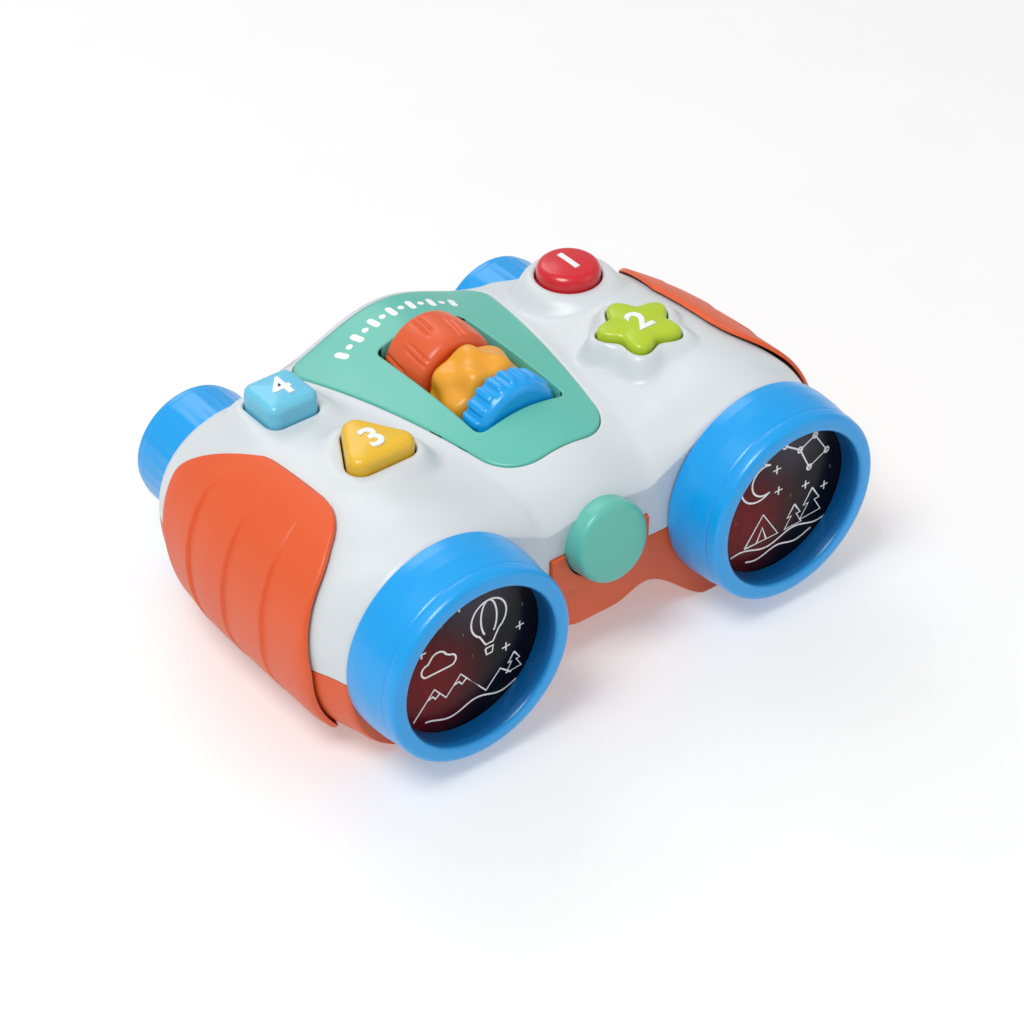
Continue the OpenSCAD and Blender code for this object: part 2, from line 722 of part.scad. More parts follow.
module battery_door() {
    color("orangered") difference() {
        translate([0, 0, arch_z]) linear_extrude(door_t - part_gap) door_outline(0);
        translate([0, door_ear_y, arch_z - wall]) cylinder(h = 2 * wall, r = screw_r + hole_gap);
    }
}

module door_screw() {
    color("silver") translate([0, door_ear_y, arch_z - screw_head_t / 2]) {
        cylinder(h = door_screw_len, r = screw_r);
        cylinder(h = screw_head_t / 2 - seat_gap, r = screw_head_r);
    }
}

// Side grips: rows round the barrel in degrees, columns from front to rear edge
function grip_edge_y(a) = grip_foot * quarter((grip_low + grip_foot_a - a) / grip_foot_a);
function grip_front_y(a) = -grip_front + grip_lean * clamp01(a / grip_turn)
    + grip_corner * quarter((a - grip_top + grip_fade) / grip_fade) + grip_edge_y(a);
function grip_back_y(a) = grip_back - grip_edge_y(a) - (a > grip_mid
    ? grip_sweep * pow((a - grip_mid) / (grip_top - grip_mid), 2)
    : grip_tuck * pow((grip_mid - a) / (grip_mid - grip_low), grip_tuck_n));
function grip_cols() = let (b = concat([grip_edge],
        [for (c = crease_at) each [c - crease_w, c + crease_w]], [1 - grip_edge]))
    concat([[0, 0]],
        [for (i = [0:len(crease_at)], k = [0:crease_cols])
            [lerp(b[2 * i], b[2 * i + 1], k / crease_cols), i < len(crease_at) ? k / crease_cols : 0.5]],
        [[1, 0]]);
function grip_angles() = concat([grip_low],
    [for (k = [0:grip_rows]) lerp(grip_low + grip_edge_a, grip_top - grip_edge_a, k / grip_rows)],
    [grip_top]);
function grip_z(a, y, lift) = a >= 0
    ? part_z + (crest(y) + lift - part_z) * sin(a)
    : part_z - (part_z - floor_z(y) + lift) * pow(sin(-a), 2 / belly_n);
function grip_x(a, y, lift) =
    barrel_x + (side(y) + lift) * pow(cos(a), a >= 0 ? 1 : 2 / belly_n);
function grip_pt(a, u, lift, s) = let (
    y = lerp(grip_front_y(a), grip_back_y(a), u)
        + grip_bow * sin(180 * u) * sin(360 * (a - grip_low) / (grip_top - grip_low)),
    x = grip_x(a, y, lift))
    [x, y, grip_z(a, y, lift) + boss(s * x, y) * sin(max(a, 0))];
function grip_grid(lift_in, s) = let (cols = grip_cols(), angles = grip_angles())
    [for (i = [0:len(angles) - 1], c = cols) let (
        a = angles[i],
        rim = i == 0 || i == len(angles) - 1 || c[0] == 0 || c[0] == 1,
        fade = smooth((a - grip_low) / grip_turn) * smooth((grip_top - a) / grip_mid),
        rise = rim ? grip_t / 3 : grip_t + grip_step * c[1] * fade)
        grip_pt(a, c[0], grip_seat + (lift_in ? 0 : rise), s)];

module grip(s) {
    nr = len(grip_angles());
    nc = len(grip_cols());
    flip = s < 0 ? [1, 0, 0] : [0, 0, 0];
    color("orangered") mirror(flip) {
        sheet_solid(grip_grid(false, s), grip_grid(true, s), nr, nc);
        for (p = peg_at) let (x = grip_x(p[1], p[0], grip_seat + grip_t / 2))
            translate([x - peg_len, p[0], grip_z(p[1], p[0], 0)]) rotate([0, 90, 0])
                cylinder(h = peg_len, r = peg_r);
    }
}

module left_grip() { grip(-1); }
module right_grip() { grip(1); }

module centre_panel() {
    color("mediumaquamarine") {
        ring_loop(concat(
            [panel_ring(0, panel_edge)], [for (s = panel_shares) panel_ring(s, 0)],
            [panel_ring(1, panel_edge), panel_ring(1, panel_t), panel_ring(0.5, panel_t)],
            [on_skin(window_outline(skirt_t), panel_t)],
            [on_skin(window_outline(skirt_t), panel_t + skirt_h)],
            [on_skin(window_outline(0), panel_t + skirt_h)]));
        for (s = [-1, 1], y = [-panel_front / 2, bridge_y, panel_back / 2 + bridge_y / 2]) panel_tab(s, y);
    }
}

// Snap tab under the long edge of the panel, hooked below the shell's roof
module panel_tab(s, y) {
    x = panel_half(y) - tab_t - fit_gap;
    hook = roof_low(panel_half(y), y, tab_w / 2) - fit_gap;
    translate([s * x, y, 0]) {
        translate([-tab_t / 2, -tab_w / 2, hook - tab_hook])
            cube([tab_t, tab_w, top(x, y) - panel_t / 2 - hook + tab_hook]);
        mirror([s > 0 ? 0 : 1, 0, 0]) translate([-tab_t / 2, -tab_w / 2, hook - tab_hook])
            cube([2 * tab_t + tab_hook + fit_gap, tab_w, tab_hook]);
    }
}

// Thumb wheels: outline round the axle, drawn out along Y
function wheel_pt(a, r) = r * [cos(a), sin(a)];
function grooved(a) = wheel_r - groove_depth * pow(abs(cos(groove_n * a / 2)), groove_pow);
function lobed(a) = wheel_r - lobe_depth * (1 - pow(abs(cos(lobe_n * a / 2)), lobe_pow));
function barred(a) =
    wheel_r - bar_depth * (1 - smooth(bar_gain * abs(cos(bar_n * a / 2)) - bar_bias));
function turns(n) = [for (i = [0:n - 1]) 360 * i / n];

module wheel(outline, y, w) {
    translate([0, y + w / 2, axle_z]) forward() difference() {
        intersection() {
            linear_extrude(w) polygon(outline);
            rotate_extrude() polygon([[0, 0], [wheel_r - wheel_chamfer, 0], [wheel_r, wheel_chamfer],
                [wheel_r, w - wheel_chamfer], [wheel_r - wheel_chamfer, w], [0, w]]);
        }
        translate([0, 0, -w]) cylinder(h = 3 * w, r = axle_r + run_gap);
    }
}

module rear_wheel() {
    color("tomato") wheel([for (a = turns(wheel_steps)) wheel_pt(a, grooved(a))],
        rear_wheel_y, rear_wheel_w);
}

module middle_wheel() {
    color("orange") wheel([for (a = turns(wheel_steps)) wheel_pt(a, lobed(a))],
        middle_wheel_y, middle_wheel_w);
}

module front_wheel() {
    color("dodgerblue") wheel([for (a = turns(bar_steps)) wheel_pt(a, barred(a))],
        front_wheel_y, front_wheel_w);
}

function cheek_front() = -window_front - cheek_off - cheek_t;
function cheek_back() = window_back + cheek_off;

module wheel_axle() {
    color("silver") translate([0, cheek_back() + cheek_t + axle_out, axle_z]) forward()
        cylinder(h = cheek_back() - cheek_front() + cheek_t + 2 * axle_out, r = axle_r);
}

module wheel_cradle() {
    color("dimgray") difference() {
        union() {
            translate([-cradle_w / 2, cheek_front(), cradle_z])
                cube([cradle_w, cheek_back() + cheek_t - cheek_front(), cradle_t]);
            for (y = [cheek_front(), cheek_back()]) translate([-cheek_w / 2, y, cradle_z])
                cube([cheek_w, cheek_t, top(cheek_w / 2, y) - panel_t - fit_gap - cradle_z]);
            for (x = [-leg_x, leg_x], y = [-leg_y, leg_y])
                translate([x, y, tray_top + tray_t + seat_gap])
                    cylinder(h = cradle_z + cradle_t / 2 - tray_top - tray_t - seat_gap, r = leg_r);
        }
        translate([0, far, axle_z]) forward() cylinder(h = 2 * far, r = axle_r + hole_gap / 2);
    }
}

// Top buttons: a puffed cap through the shell, a flange below the roof and a stem over the dome
module button_spot(s, rear) {
    y = rear > 0 ? rear_btn_y : s > 0 ? -front_btn_y : -triangle_y;
    translate([s * (rear > 0 ? rear_btn_x : front_btn_x), y, 0]) children();
}

function flange_z(bx, by, r) = roof_low(bx, by, r) - flange_gap;
function puffed(outline, z0, z1) =
    [for (k = concat([[z1 - z0, 1]], cap_steps))
        [for (p = outline) [k[1] * p[0], k[1] * p[1], z1 - k[0]]]];

module button_base(bx, by, tip) {
    r = tip + flange_out;
    z = flange_z(bx, by, r);
    translate([0, 0, z - flange_t]) cylinder(h = flange_t, r = r);
    translate([0, 0, board_z + dome_h + seat_gap])
        cylinder(h = z - flange_t / 2 - board_z - dome_h - seat_gap, r = stem_r);
}

module red_button() {
    c = cap_round;
    z0 = flange_z(rear_btn_x, rear_btn_y, round_r + flange_out) - flange_t / 2;
    color("crimson") button_spot(1, 1) {
        button_base(rear_btn_x, rear_btn_y, round_r);
        rotate_extrude() polygon(concat([[0, z0], [round_r, z0]],
            [for (a = [0:10:70]) [round_r - c + c * cos(a), rear_btn_z - cap_crown - c + c * sin(a)]],
            [[round_r / 2, rear_btn_z - cap_crown / 4], [0, rear_btn_z]]));
    }
}

module star_button() {
    z0 = flange_z(front_btn_x, -front_btn_y, star_r + flange_out) - flange_t / 2;
    color("yellowgreen") button_spot(1, -1) {
        button_base(front_btn_x, -front_btn_y, star_r);
        ring_stack(puffed(star_outline(0), z0, front_btn_z));
    }
}

module triangle_button() {
    z0 = flange_z(-front_btn_x, -triangle_y, triangle_r + flange_out) - flange_t / 2;
    color("gold") button_spot(-1, -1) {
        button_base(-front_btn_x, -triangle_y, triangle_r);
        ring_stack(puffed(triangle_outline(0), z0, front_btn_z));
    }
}

module square_button() {
    z0 = flange_z(-rear_btn_x, rear_btn_y, square_tip() + flange_out) - flange_t / 2;
    color("skyblue") button_spot(-1, 1) {
        button_base(-rear_btn_x, rear_btn_y, square_tip());
        ring_stack(puffed(square_outline(0), z0, rear_btn_z));
    }
}

module dome() { color("lightgray") cylinder(h = dome_h, r1 = dome_r, r2 = dome_top_r); }

module red_dome() { button_spot(1, 1) translate([0, 0, board_z]) dome(); }
module star_dome() { button_spot(1, -1) translate([0, 0, board_z]) dome(); }
module triangle_dome() { button_spot(-1, -1) translate([0, 0, board_z]) dome(); }
module square_dome() { button_spot(-1, 1) translate([0, 0, board_z]) dome(); }

module button_board(s) {
    z = board_z - board_t - seat_gap / 2;
    color("green") translate([s * board_x - board_w / 2, board_y - board_len / 2, z])
        cube([board_w, board_len, board_t]);
}

module left_button_board() { button_board(-1); }
module right_button_board() { button_board(1); }

// Front button, drawn along its own tilted axis
function disc_dome_z() = disc_flange_z - flange_t - seat_gap - dome_h;
function disc_rib_z() = disc_dome_z() - board_t - seat_gap - wall;

module front_button() {
    e = disc_edge;
    color("mediumaquamarine") at_disc() rotate_extrude() polygon(concat(
        [[0, disc_flange_z - flange_t], [disc_r + disc_flange, disc_flange_z - flange_t],
            [disc_r + disc_flange, disc_flange_z], [disc_r, disc_flange_z]],
        [for (a = [0:15:75]) [disc_r - e + e * cos(a), disc_h - disc_dome - e + e * sin(a)]],
        [[disc_r / 2, disc_h - disc_dome / 4], [0, disc_h]]));
}

module front_dome() { at_disc() translate([0, 0, disc_dome_z()]) dome(); }

module front_board() {
    color("green") at_disc() translate([-disc_board / 2, -disc_board / 2, disc_dome_z() - board_t])
        cube([disc_board, disc_board, board_t - seat_gap / 2]);
}

// Objectives: ring with spigot, lens, lamp housing and lamp board on the barrel axis
module objective_ring(s) {
    bore = spigot_r - spigot_t;
    color("dodgerblue") at_barrel(s, axis_z) forward() rotate_extrude() polygon([
        [bore, body_front - spigot_len], [spigot_r, body_front - spigot_len], [spigot_r, ring_back],
        [ring_r - ring_foot / 2, ring_back], [ring_r, ring_back + ring_foot],
        [ring_r - ring_lean, ring_back + ring_skirt],
        [lip_r + ring_lean, ring_front - lip_back], [lip_r, ring_front - lip_back + lip_groove],
        each [for (p = lip_bead) [lip_r + p[0], ring_front - p[1]]],
        each [for (p = lip_mouth) [aperture_r + p[0], ring_front - p[1]]],
        [aperture_r, lens_front], [bore, lens_front]]);
}

module lens(s) {
    color("black") at_barrel(s, axis_z) forward() rotate_extrude() polygon([
        [0, lens_front - lens_t], [cup_r, lens_front - lens_t], [cup_r, lens_front - seat_gap],
        [aperture_r - 1, lens_front - seat_gap], [aperture_r / 2, lens_front + lens_dome * lens_swell],
        [0, lens_front + lens_dome]]);
}

module lamp_housing(s) {
    color("white") at_barrel(s, axis_z) forward() rotate_extrude() polygon([
        [led_r + fit_gap, cup_back], [cup_back_r, cup_back], [cup_r, cup_mid], [cup_r, cup_front],
        [cup_r - cup_t, cup_front], [cup_r - cup_t, cup_mid + cup_t / 2],
        [cup_back_r - cup_t / 2, cup_back + cup_t], [led_r + fit_gap, cup_back + cup_t]]);
}

module lamp_board(s) {
    color("green") at_barrel(s, axis_z) forward() rotate_extrude() polygon([
        [0, cup_back - seat_gap - board_t], [lamp_board_r, cup_back - seat_gap - board_t],
        [lamp_board_r, cup_back - seat_gap], [led_r, cup_back - seat_gap],
        [led_r, cup_back + led_h - led_r], [led_r * led_round, cup_back + led_h - led_r * (1 - led_round)],
        [0, cup_back + led_h]]);
}

module left_objective_ring() { objective_ring(-1); }
module right_objective_ring() { objective_ring(1); }
module left_lens() { lens(-1); }
module right_lens() { lens(1); }
module left_lamp_housing() { lamp_housing(-1); }
module right_lamp_housing() { lamp_housing(1); }
module left_lamp_board() { lamp_board(-1); }
module right_lamp_board() { lamp_board(1); }

// Eyecups: ribbed cup turning on a fixed sleeve that holds a clear lens
module eyecup(s) {
    rib_from = eye_front + eye_round;
    rib_len = eye_back - eye_rim - rib_from;
    color("dodgerblue") at_barrel(s, eye_z) rearward() difference() {
        union() {
            rotate_extrude() polygon([
                [0, eye_front], [eye_r - eye_round, eye_front], [eye_r - rib_h, eye_front + eye_round],
                [eye_r - rib_h, eye_back - eye_rim],
                each [for (p = eye_lip) [eye_r - p[0], eye_back - p[1]]], [0, eye_back]]);
            translate([0, 0, rib_from]) linear_extrude(rib_len) polygon(
                [for (i = [0:rib_parts * eye_ribs - 1]) let (a = 360 * i / (rib_parts * eye_ribs))
                    (eye_r - (i % rib_parts < rib_parts / 2 ? 0 : 2 * rib_h)) * [cos(a), sin(a)]]);
        }
        translate([0, 0, eye_front - wall]) cylinder(h = far, r = sleeve_r + run_gap);
        translate([0, 0, eye_back - eye_step]) cylinder(h = far, r = collar_r + btn_gap);
    }
}

module eye_sleeve(s) {
    bore = sleeve_r - sleeve_t;
    inside = body_back - wall - seat_gap;
    collar = eye_back - eye_step + part_gap;
    color("dimgray") at_barrel(s, eye_z) rearward() rotate_extrude() polygon([
        [bore - eye_lens_step, inside - sleeve_flange_t], [sleeve_flange_r, inside - sleeve_flange_t],
        [sleeve_flange_r, inside], [sleeve_r, inside], [sleeve_r, collar], [collar_r, collar],
        [collar_r, collar + collar_t / 2], [collar_r - collar_t / 2, collar + collar_t],
        [bore, collar + collar_t], [bore, eye_lens_y], [bore - eye_lens_step, eye_lens_y]]);
}

module eye_lens(s) {
    r = sleeve_r - sleeve_t - seat_gap;
    color("lightcyan") at_barrel(s, eye_z) rearward() rotate_extrude() polygon([
        [0, eye_lens_y + seat_gap], [r, eye_lens_y + seat_gap],
        [r, eye_lens_y + seat_gap + eye_lens_t / 2],
        [r / 2, eye_lens_y + eye_lens_t * eye_lens_swell], [0, eye_lens_y + eye_lens_t]]);
}

module left_eyecup() { eyecup(-1); }
module right_eyecup() { eyecup(1); }
module left_eye_sleeve() { eye_sleeve(-1); }
module right_eye_sleeve() { eye_sleeve(1); }
module left_eye_lens() { eye_lens(-1); }
module right_eye_lens() { eye_lens(1); }

// Works in the bridge: main board, speaker, cells, contacts and the power switch
module main_board() {
    color("green") translate([0, 0, tray_top + tray_t + standoff_h + seat_gap]) {
        translate([-main_w / 2, -main_len / 2, 0]) cube([main_w, main_len, board_t]);
        translate([0, main_len / 5, board_t / 2]) cylinder(h = board_t, r = main_w / 5);
    }
}

module speaker() {
    color("gray") translate([0, speaker_y, arch_z + wall + seat_gap]) rotate_extrude() polygon([
        [0, 0], [speaker_r, 0], [speaker_r, speaker_h / 3],
        [speaker_r * magnet_share, speaker_h / 2], [speaker_r * magnet_share, speaker_h],
        [0, speaker_h]]);
}

module speaker_clamp() {
    z = arch_z + wall + seat_gap;
    reach = speaker_r + fit_gap;
    color("dimgray") translate([0, speaker_y, z]) difference() {
        cylinder(h = speaker_h / 3 + seat_gap + clamp_t + fit_gap, r = reach + clamp_t);
        translate([0, 0, -wall]) cylinder(h = wall + speaker_h / 3 + seat_gap + fit_gap, r = reach);
        translate([0, 0, -wall]) cylinder(h = far, r = speaker_r * clamp_share);
        translate([-far / 2, -reach / 2, -wall]) cube([far, reach, wall + speaker_h / 6]);
    }
}

module at_cells() {
    for (i = [0:cells - 1]) translate([(i - (cells - 1) / 2) * cell_pitch, 0, cell_z]) children();
}

module batteries() {
    color("goldenrod") at_cells() rearward() translate([0, 0, -cell_len / 2]) {
        cylinder(h = cell_len - cell_nub, r = cell_d / 2);
        cylinder(h = cell_len, r = cell_d / 5);
    }
}

module battery_contacts() {
    color("silver") at_cells() for (s = [-1, 1])
        translate([0, s * (tray_len / 2 - contact_t / 2 - seat_gap), 0]) {
            cube([cell_d * contact_share, contact_t, cell_d * contact_share], center = true);
            rotate([s * 90, 0, 0])
                cylinder(h = contact_t / 2 + contact_gap - 2 * seat_gap, r1 = spring_r, r2 = spring_r / 2);
        }
}

module power_knob() {
    z = arch_z + wall + knob_lift;
    color("dimgray") translate([-knob_travel / 2, knob_y, 0]) {
        translate([-knob_w / 2, -knob_d / 2, arch_z - knob_proud])
            cube([knob_w, knob_d, z - arch_z + knob_proud]);
        translate([-knob_w, -knob_d, z]) cube([2 * knob_w, 2 * knob_d, knob_plate]);
    }
}

module power_switch() {
    z = arch_z + wall + 2 * knob_lift + knob_plate;
    color("gray") translate([-switch_w / 2, knob_y - switch_d / 2, z])
        cube([switch_w, switch_d, switch_h]);
}

module shell_screws() {
    color("silver") at_screws() translate([0, 0, screw_seat + seat_gap / 2]) {
        translate([0, 0, -screw_head_t]) cylinder(h = screw_head_t - seat_gap, r = screw_head_r);
        translate([0, 0, -screw_head_t / 2]) cylinder(h = screw_len, r = screw_r);
    }
}

upper_shell();
lower_shell();
left_grip();
right_grip();
centre_panel();
rear_wheel();
middle_wheel();
front_wheel();
wheel_axle();
wheel_cradle();
red_button();
star_button();
triangle_button();
square_button();
red_dome();
star_dome();
triangle_dome();
square_dome();
left_button_board();
right_button_board();
front_button();
front_dome();
front_board();
left_objective_ring();
right_objective_ring();
left_lens();
right_lens();
left_lamp_housing();
right_lamp_housing();
left_lamp_board();
right_lamp_board();
left_eyecup();
right_eyecup();
left_eye_sleeve();
right_eye_sleeve();
left_eye_lens();
right_eye_lens();
main_board();
speaker();
speaker_clamp();
batteries();
battery_contacts();
battery_door();
door_screw();
power_knob();
power_switch();
shell_screws();
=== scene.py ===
"""Looks of the toy binoculars: moulded shells, grips, wheels, buttons, objectives and eyecups.

Sizes are in millimetres and become metres where a vertex is placed. +Z is up, the objectives
face -Y and the eyecups +Y.
"""
import json
import logging
import math
from contextlib import contextmanager
from dataclasses import dataclass
from enum import Enum
from functools import cached_property
from typing import Callable, Iterator, Sequence

import bmesh
import bpy
from mathutils import Matrix, Vector
from mathutils.geometry import delaunay_2d_cdt


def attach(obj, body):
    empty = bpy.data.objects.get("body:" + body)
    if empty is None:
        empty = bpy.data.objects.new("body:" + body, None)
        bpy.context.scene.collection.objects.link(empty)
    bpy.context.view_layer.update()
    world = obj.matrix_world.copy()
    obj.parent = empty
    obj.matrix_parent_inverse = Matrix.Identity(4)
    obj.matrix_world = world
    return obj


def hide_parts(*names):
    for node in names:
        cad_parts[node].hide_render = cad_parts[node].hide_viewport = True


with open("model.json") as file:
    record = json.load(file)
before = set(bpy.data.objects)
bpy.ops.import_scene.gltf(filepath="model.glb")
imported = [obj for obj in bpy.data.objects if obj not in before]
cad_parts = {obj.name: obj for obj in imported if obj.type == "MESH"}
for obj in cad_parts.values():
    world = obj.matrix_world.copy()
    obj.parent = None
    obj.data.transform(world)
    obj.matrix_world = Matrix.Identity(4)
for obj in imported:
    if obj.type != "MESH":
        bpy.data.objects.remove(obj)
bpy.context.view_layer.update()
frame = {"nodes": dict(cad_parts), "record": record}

LOG = logging.getLogger("binoculars")
MM = 0.001
# Points closer than this merge, and shorter edges collapse, in metres
MERGE_AT = 1e-7
COLLAPSE_AT = 1e-8
# An edge this close to an outline belongs to it, in millimetres
ON_OUTLINE = 0.06
# Share of a quarter round that a rim turns through, just short of upright
RIM_TURN = 0.98
# Most of a straight side that one soft corner may take
CORNER_SHARE = 0.49
Flat = tuple[float, float]
Point = tuple[float, float, float]
Place = Callable[[float, float], Point]
Piece = bpy.types.Object
Material = bpy.types.Material
Tree = bpy.types.NodeTree
Socket = bpy.types.NodeSocket
Node = bpy.types.Node


class Side(Enum):
    """Which barrel a piece belongs to, as the sign of its X."""

    LEFT = -1
    RIGHT = 1

    @property
    def word(self) -> str:
        """Name of the side as the nodes use it."""
        return self.name.lower()


def lerp(a: float, b: float, t: float) -> float:
    """Value a share t of the way from a to b."""
    return a + (b - a) * t


def clamp(t: float) -> float:
    """Value held between 0 and 1."""
    return min(1.0, max(0.0, t))


def smooth(t: float) -> float:
    """Soft step from 0 to 1."""
    u = clamp(t)
    return u * u * (3 - 2 * u)


def run_out(t: float) -> float:
    """Curve that is flat up to 0 and then falls away."""
    return t * t if t > 0 else 0.0


def quarter(t: float) -> float:
    """Quarter round from 0 to 1."""
    return 1 - math.sqrt(1 - clamp(t) ** 2)


def wave(t: float) -> float:
    """Half a cosine from 1 to 0."""
    return (1 + math.cos(math.pi * clamp(t))) / 2


def polar(x: float, y: float, radius: float, angle: float) -> Flat:
    """Spot at a radius and an angle from a middle."""
    return (x + radius * math.cos(angle), y + radius * math.sin(angle))


def graded(low: float, high: float, step: float, ends: Sequence[float]) -> list[float]:
    """Positions from low to high, close together near both ends.

    Args:
        low: First position.
        high: Last position.
        step: Spacing in the middle.
        ends: Distances from each end that get a position of their own.

    Returns:
        The positions in rising order.
    """
    first, last = low + ends[-1], high - ends[-1]
    count = max(1, round((last - first) / step))
    inner = [lerp(first, last, i / count) for i in range(count + 1)]
    return [low + e for e in ends[:-1]] + inner + [high - e for e in reversed(ends[:-1])]


# Modelling helpers


def deselect() -> None:
    """Leave no object selected."""
    bpy.ops.object.select_all(action="DESELECT")


def select_only(piece: Piece) -> None:
    """Make one object the only selected and the active one."""
    deselect()
    piece.select_set(True)
    bpy.context.view_layer.objects.active = piece


@contextmanager
def editing(piece: Piece) -> Iterator[None]:
    """Open a piece in edit mode with everything selected, and close it again.

    Args:
        piece: Piece to edit.

    Returns:
        A context in which the piece is open.
    """
    select_only(piece)
    bpy.ops.object.mode_set(mode="EDIT")
    bpy.ops.mesh.select_mode(type="VERT")
    bpy.ops.mesh.select_all(action="SELECT")
    yield
    bpy.ops.object.mode_set(mode="OBJECT")


def choose_edges(piece: Piece, wanted: Callable[[bmesh.types.BMEdge], bool]) -> int:
    """Select the edges of the piece in edit mode that a test picks.

    Args:
        piece: Piece that is open in edit mode.
        wanted: Test of one edge.

    Returns:
        Number of edges selected.
    """
    bpy.ops.mesh.select_all(action="DESELECT")
    bpy.ops.mesh.select_mode(type="EDGE")
    mesh = bmesh.from_edit_mesh(piece.data)
    picked = [edge for edge in mesh.edges if wanted(edge)]
    for edge in picked:
        edge.select_set(True)
    bmesh.update_edit_mesh(piece.data)
    return len(picked)


def modify(piece: Piece, kind: str, **settings: object) -> None:
    """Add a modifier with its settings and apply it.

    Args:
        piece: Piece to change.
        kind: Type of the modifier.
        settings: Properties of the modifier.
    """
    select_only(piece)
    modifier = piece.modifiers.new(kind.lower(), kind)
    for name, value in settings.items():
        setattr(modifier, name, value)
    bpy.ops.object.modifier_apply(modifier=modifier.name)


def weld(piece: Piece, outward: bool = True) -> None:
    """Merge doubles and, on a closed form, turn its faces outwards.

    Args:
        piece: Piece to mend.
        outward: Whether the form is closed.
    """
    with editing(piece):
        bpy.ops.mesh.remove_doubles(threshold=MERGE_AT)
        bpy.ops.mesh.dissolve_degenerate(threshold=COLLAPSE_AT)
        bpy.ops.mesh.delete_loose()
        bpy.ops.mesh.select_all(action="SELECT")
        if outward:
            bpy.ops.mesh.normals_make_consistent(inside=False)


def soften(piece: Piece, angle: float) -> None:
    """Shade a piece smooth, with a crisp line only where faces meet at more than angle degrees."""
    select_only(piece)
    bpy.ops.object.shade_smooth_by_angle(angle=math.radians(angle))


def shaped_grid(name: str, across: int, along: int, place: Place) -> Piece:
    """Lay a grid primitive on a surface.

    Args:
        name: Name of the piece.
        across: Faces along the first direction.
        along: Faces along the second direction.
        place: Point of the surface in millimetres for two shares from 0 to 1.

    Returns:
        The new object, with its place in its mesh.
    """
    deselect()
    bpy.ops.mesh.primitive_grid_add(x_subdivisions=across, y_subdivisions=along, size=2)
    piece = bpy.context.object
    piece.name = piece.data.name = name
    for vertex in piece.data.vertices:
        vertex.co = MM * Vector(place((vertex.co.x + 1) / 2, (vertex.co.y + 1) / 2))
    return piece


def cut_sheet(name: str, loops: Sequence[Sequence[Flat]], dots: Sequence[Flat],
              keep: Callable[[float, float], bool], place: Place,
              flip: bool = False) -> Piece:
    """Lay out a sheet in the flat, cut it along outlines and lay it on its surface.

    Args:
        name: Name of the piece.
        loops: Closed outlines that become edges of the mesh.
        dots: Further points that carry the curvature.
        keep: Test of a spot in the layout that belongs to the sheet.
        place: Point of the surface in millimetres for a spot in the layout.
        flip: Whether the outer side is the underside of the layout.

    Returns:
        The new object.
    """
    points: list[Flat] = []
    edges: list[tuple[int, int]] = []
    for loop in loops:
        first = len(points)
        points += loop
        edges += [(first + i, first + (i + 1) % len(loop)) for i in range(len(loop))]
    points += dots
    flat, _, faces, *_ = delaunay_2d_cdt([Vector(p) for p in points], edges, [], 0, 1e-6)
    kept = []
    for face in faces:
        middle = sum((flat[i] for i in face), Vector((0, 0))) / len(face)
        if keep(middle.x, middle.y):
            kept.append(tuple(reversed(face)) if flip else tuple(face))
    mesh = bpy.data.meshes.new(name)
    mesh.from_pydata([MM * Vector(place(p.x, p.y)) for p in flat], [], kept)
    piece = bpy.data.objects.new(name, mesh)
    bpy.context.scene.collection.objects.link(piece)
    with editing(piece):
        bpy.ops.mesh.delete_loose()
    return piece


def rounded(corners: Sequence[Point], steps: int) -> list[Flat]:
    """Outline with each corner turned into a soft curve.

    Args:
        corners: Points as (a, b, radius) round a closed outline.
        steps: Steps of each curve.

    Returns:
        The points of the rounded outline.
    """
    points: list[Flat] = []
    for i, (a, b, radius) in enumerate(corners):
        here = Vector((a, b))
        before = Vector(corners[i - 1][:2]) - here
        after = Vector(corners[(i + 1) % len(corners)][:2]) - here
        if radius <= 0:
            points.append((a, b))
            continue
        half = before.angle(after) / 2
        run = min(radius / math.tan(half), before.length * CORNER_SHARE, after.length * CORNER_SHARE)
        start, end = here + before.normalized() * run, here + after.normalized() * run
        for k in range(steps + 1):
            t = k / steps
            spot = start * (1 - t) ** 2 + here * 2 * t * (1 - t) + end * t * t
            points.append((spot.x, spot.y))
    return points


def spun(name: str, profile: Sequence[Flat], x: float, z: float, steps: int) -> Piece:
    """Turn a closed profile round an axis along Y.

    Args:
        name: Name of the piece.
        profile: Points as (radius, y) round the section.
        x: Place of the axis.
        z: Height of the axis.
        steps: Steps of the full turn.

    Returns:
        The new object.
    """
    deselect()
    bpy.ops.mesh.primitive_circle_add(vertices=len(profile), fill_type="NOTHING")
    piece = bpy.context.object
    piece.name = piece.data.name = name
    for vertex, (radius, y) in zip(piece.data.vertices, profile):
        vertex.co = MM * Vector((x + radius, y, z))
    with editing(piece):
        bpy.ops.mesh.spin(steps=steps, angle=math.tau, center=MM * Vector((x, 0, z)), axis=(0, 1, 0))
    weld(piece)
    return piece


def joined(pieces: Sequence[Piece], name: str) -> Piece:
    """Join several objects into one.

    Args:
        pieces: Objects to join, the first of which stays.
        name: Name of the whole.

    Returns:
        The joined object.
    """
    deselect()
    for piece in pieces:
        piece.select_set(True)
    bpy.context.view_layer.objects.active = pieces[0]
    if len(pieces) > 1:
        bpy.ops.object.join()
    whole = bpy.context.view_layer.objects.active
    whole.name = whole.data.name = name
    return whole


def settle(piece: Piece, material: Material, body: str, slot: str,
           *stands_for: str) -> Piece:
    """Dress a finished piece and tie it to the body that carries it.

    Args:
        piece: Finished piece.
        material: Its finish.
        body: Body that it moves with.
        slot: Material slot of the record, which is not used.
        stands_for: Nodes that it replaces.

    Returns:
        The same piece.
    """
    piece.data.materials.clear()
    piece.data.materials.append(material)
    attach(piece, body)
    if stands_for:
        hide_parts(*stands_for)
    LOG.info("%s: %d faces on %s", piece.name, len(piece.data.polygons), body)
    return piece


# Finishes


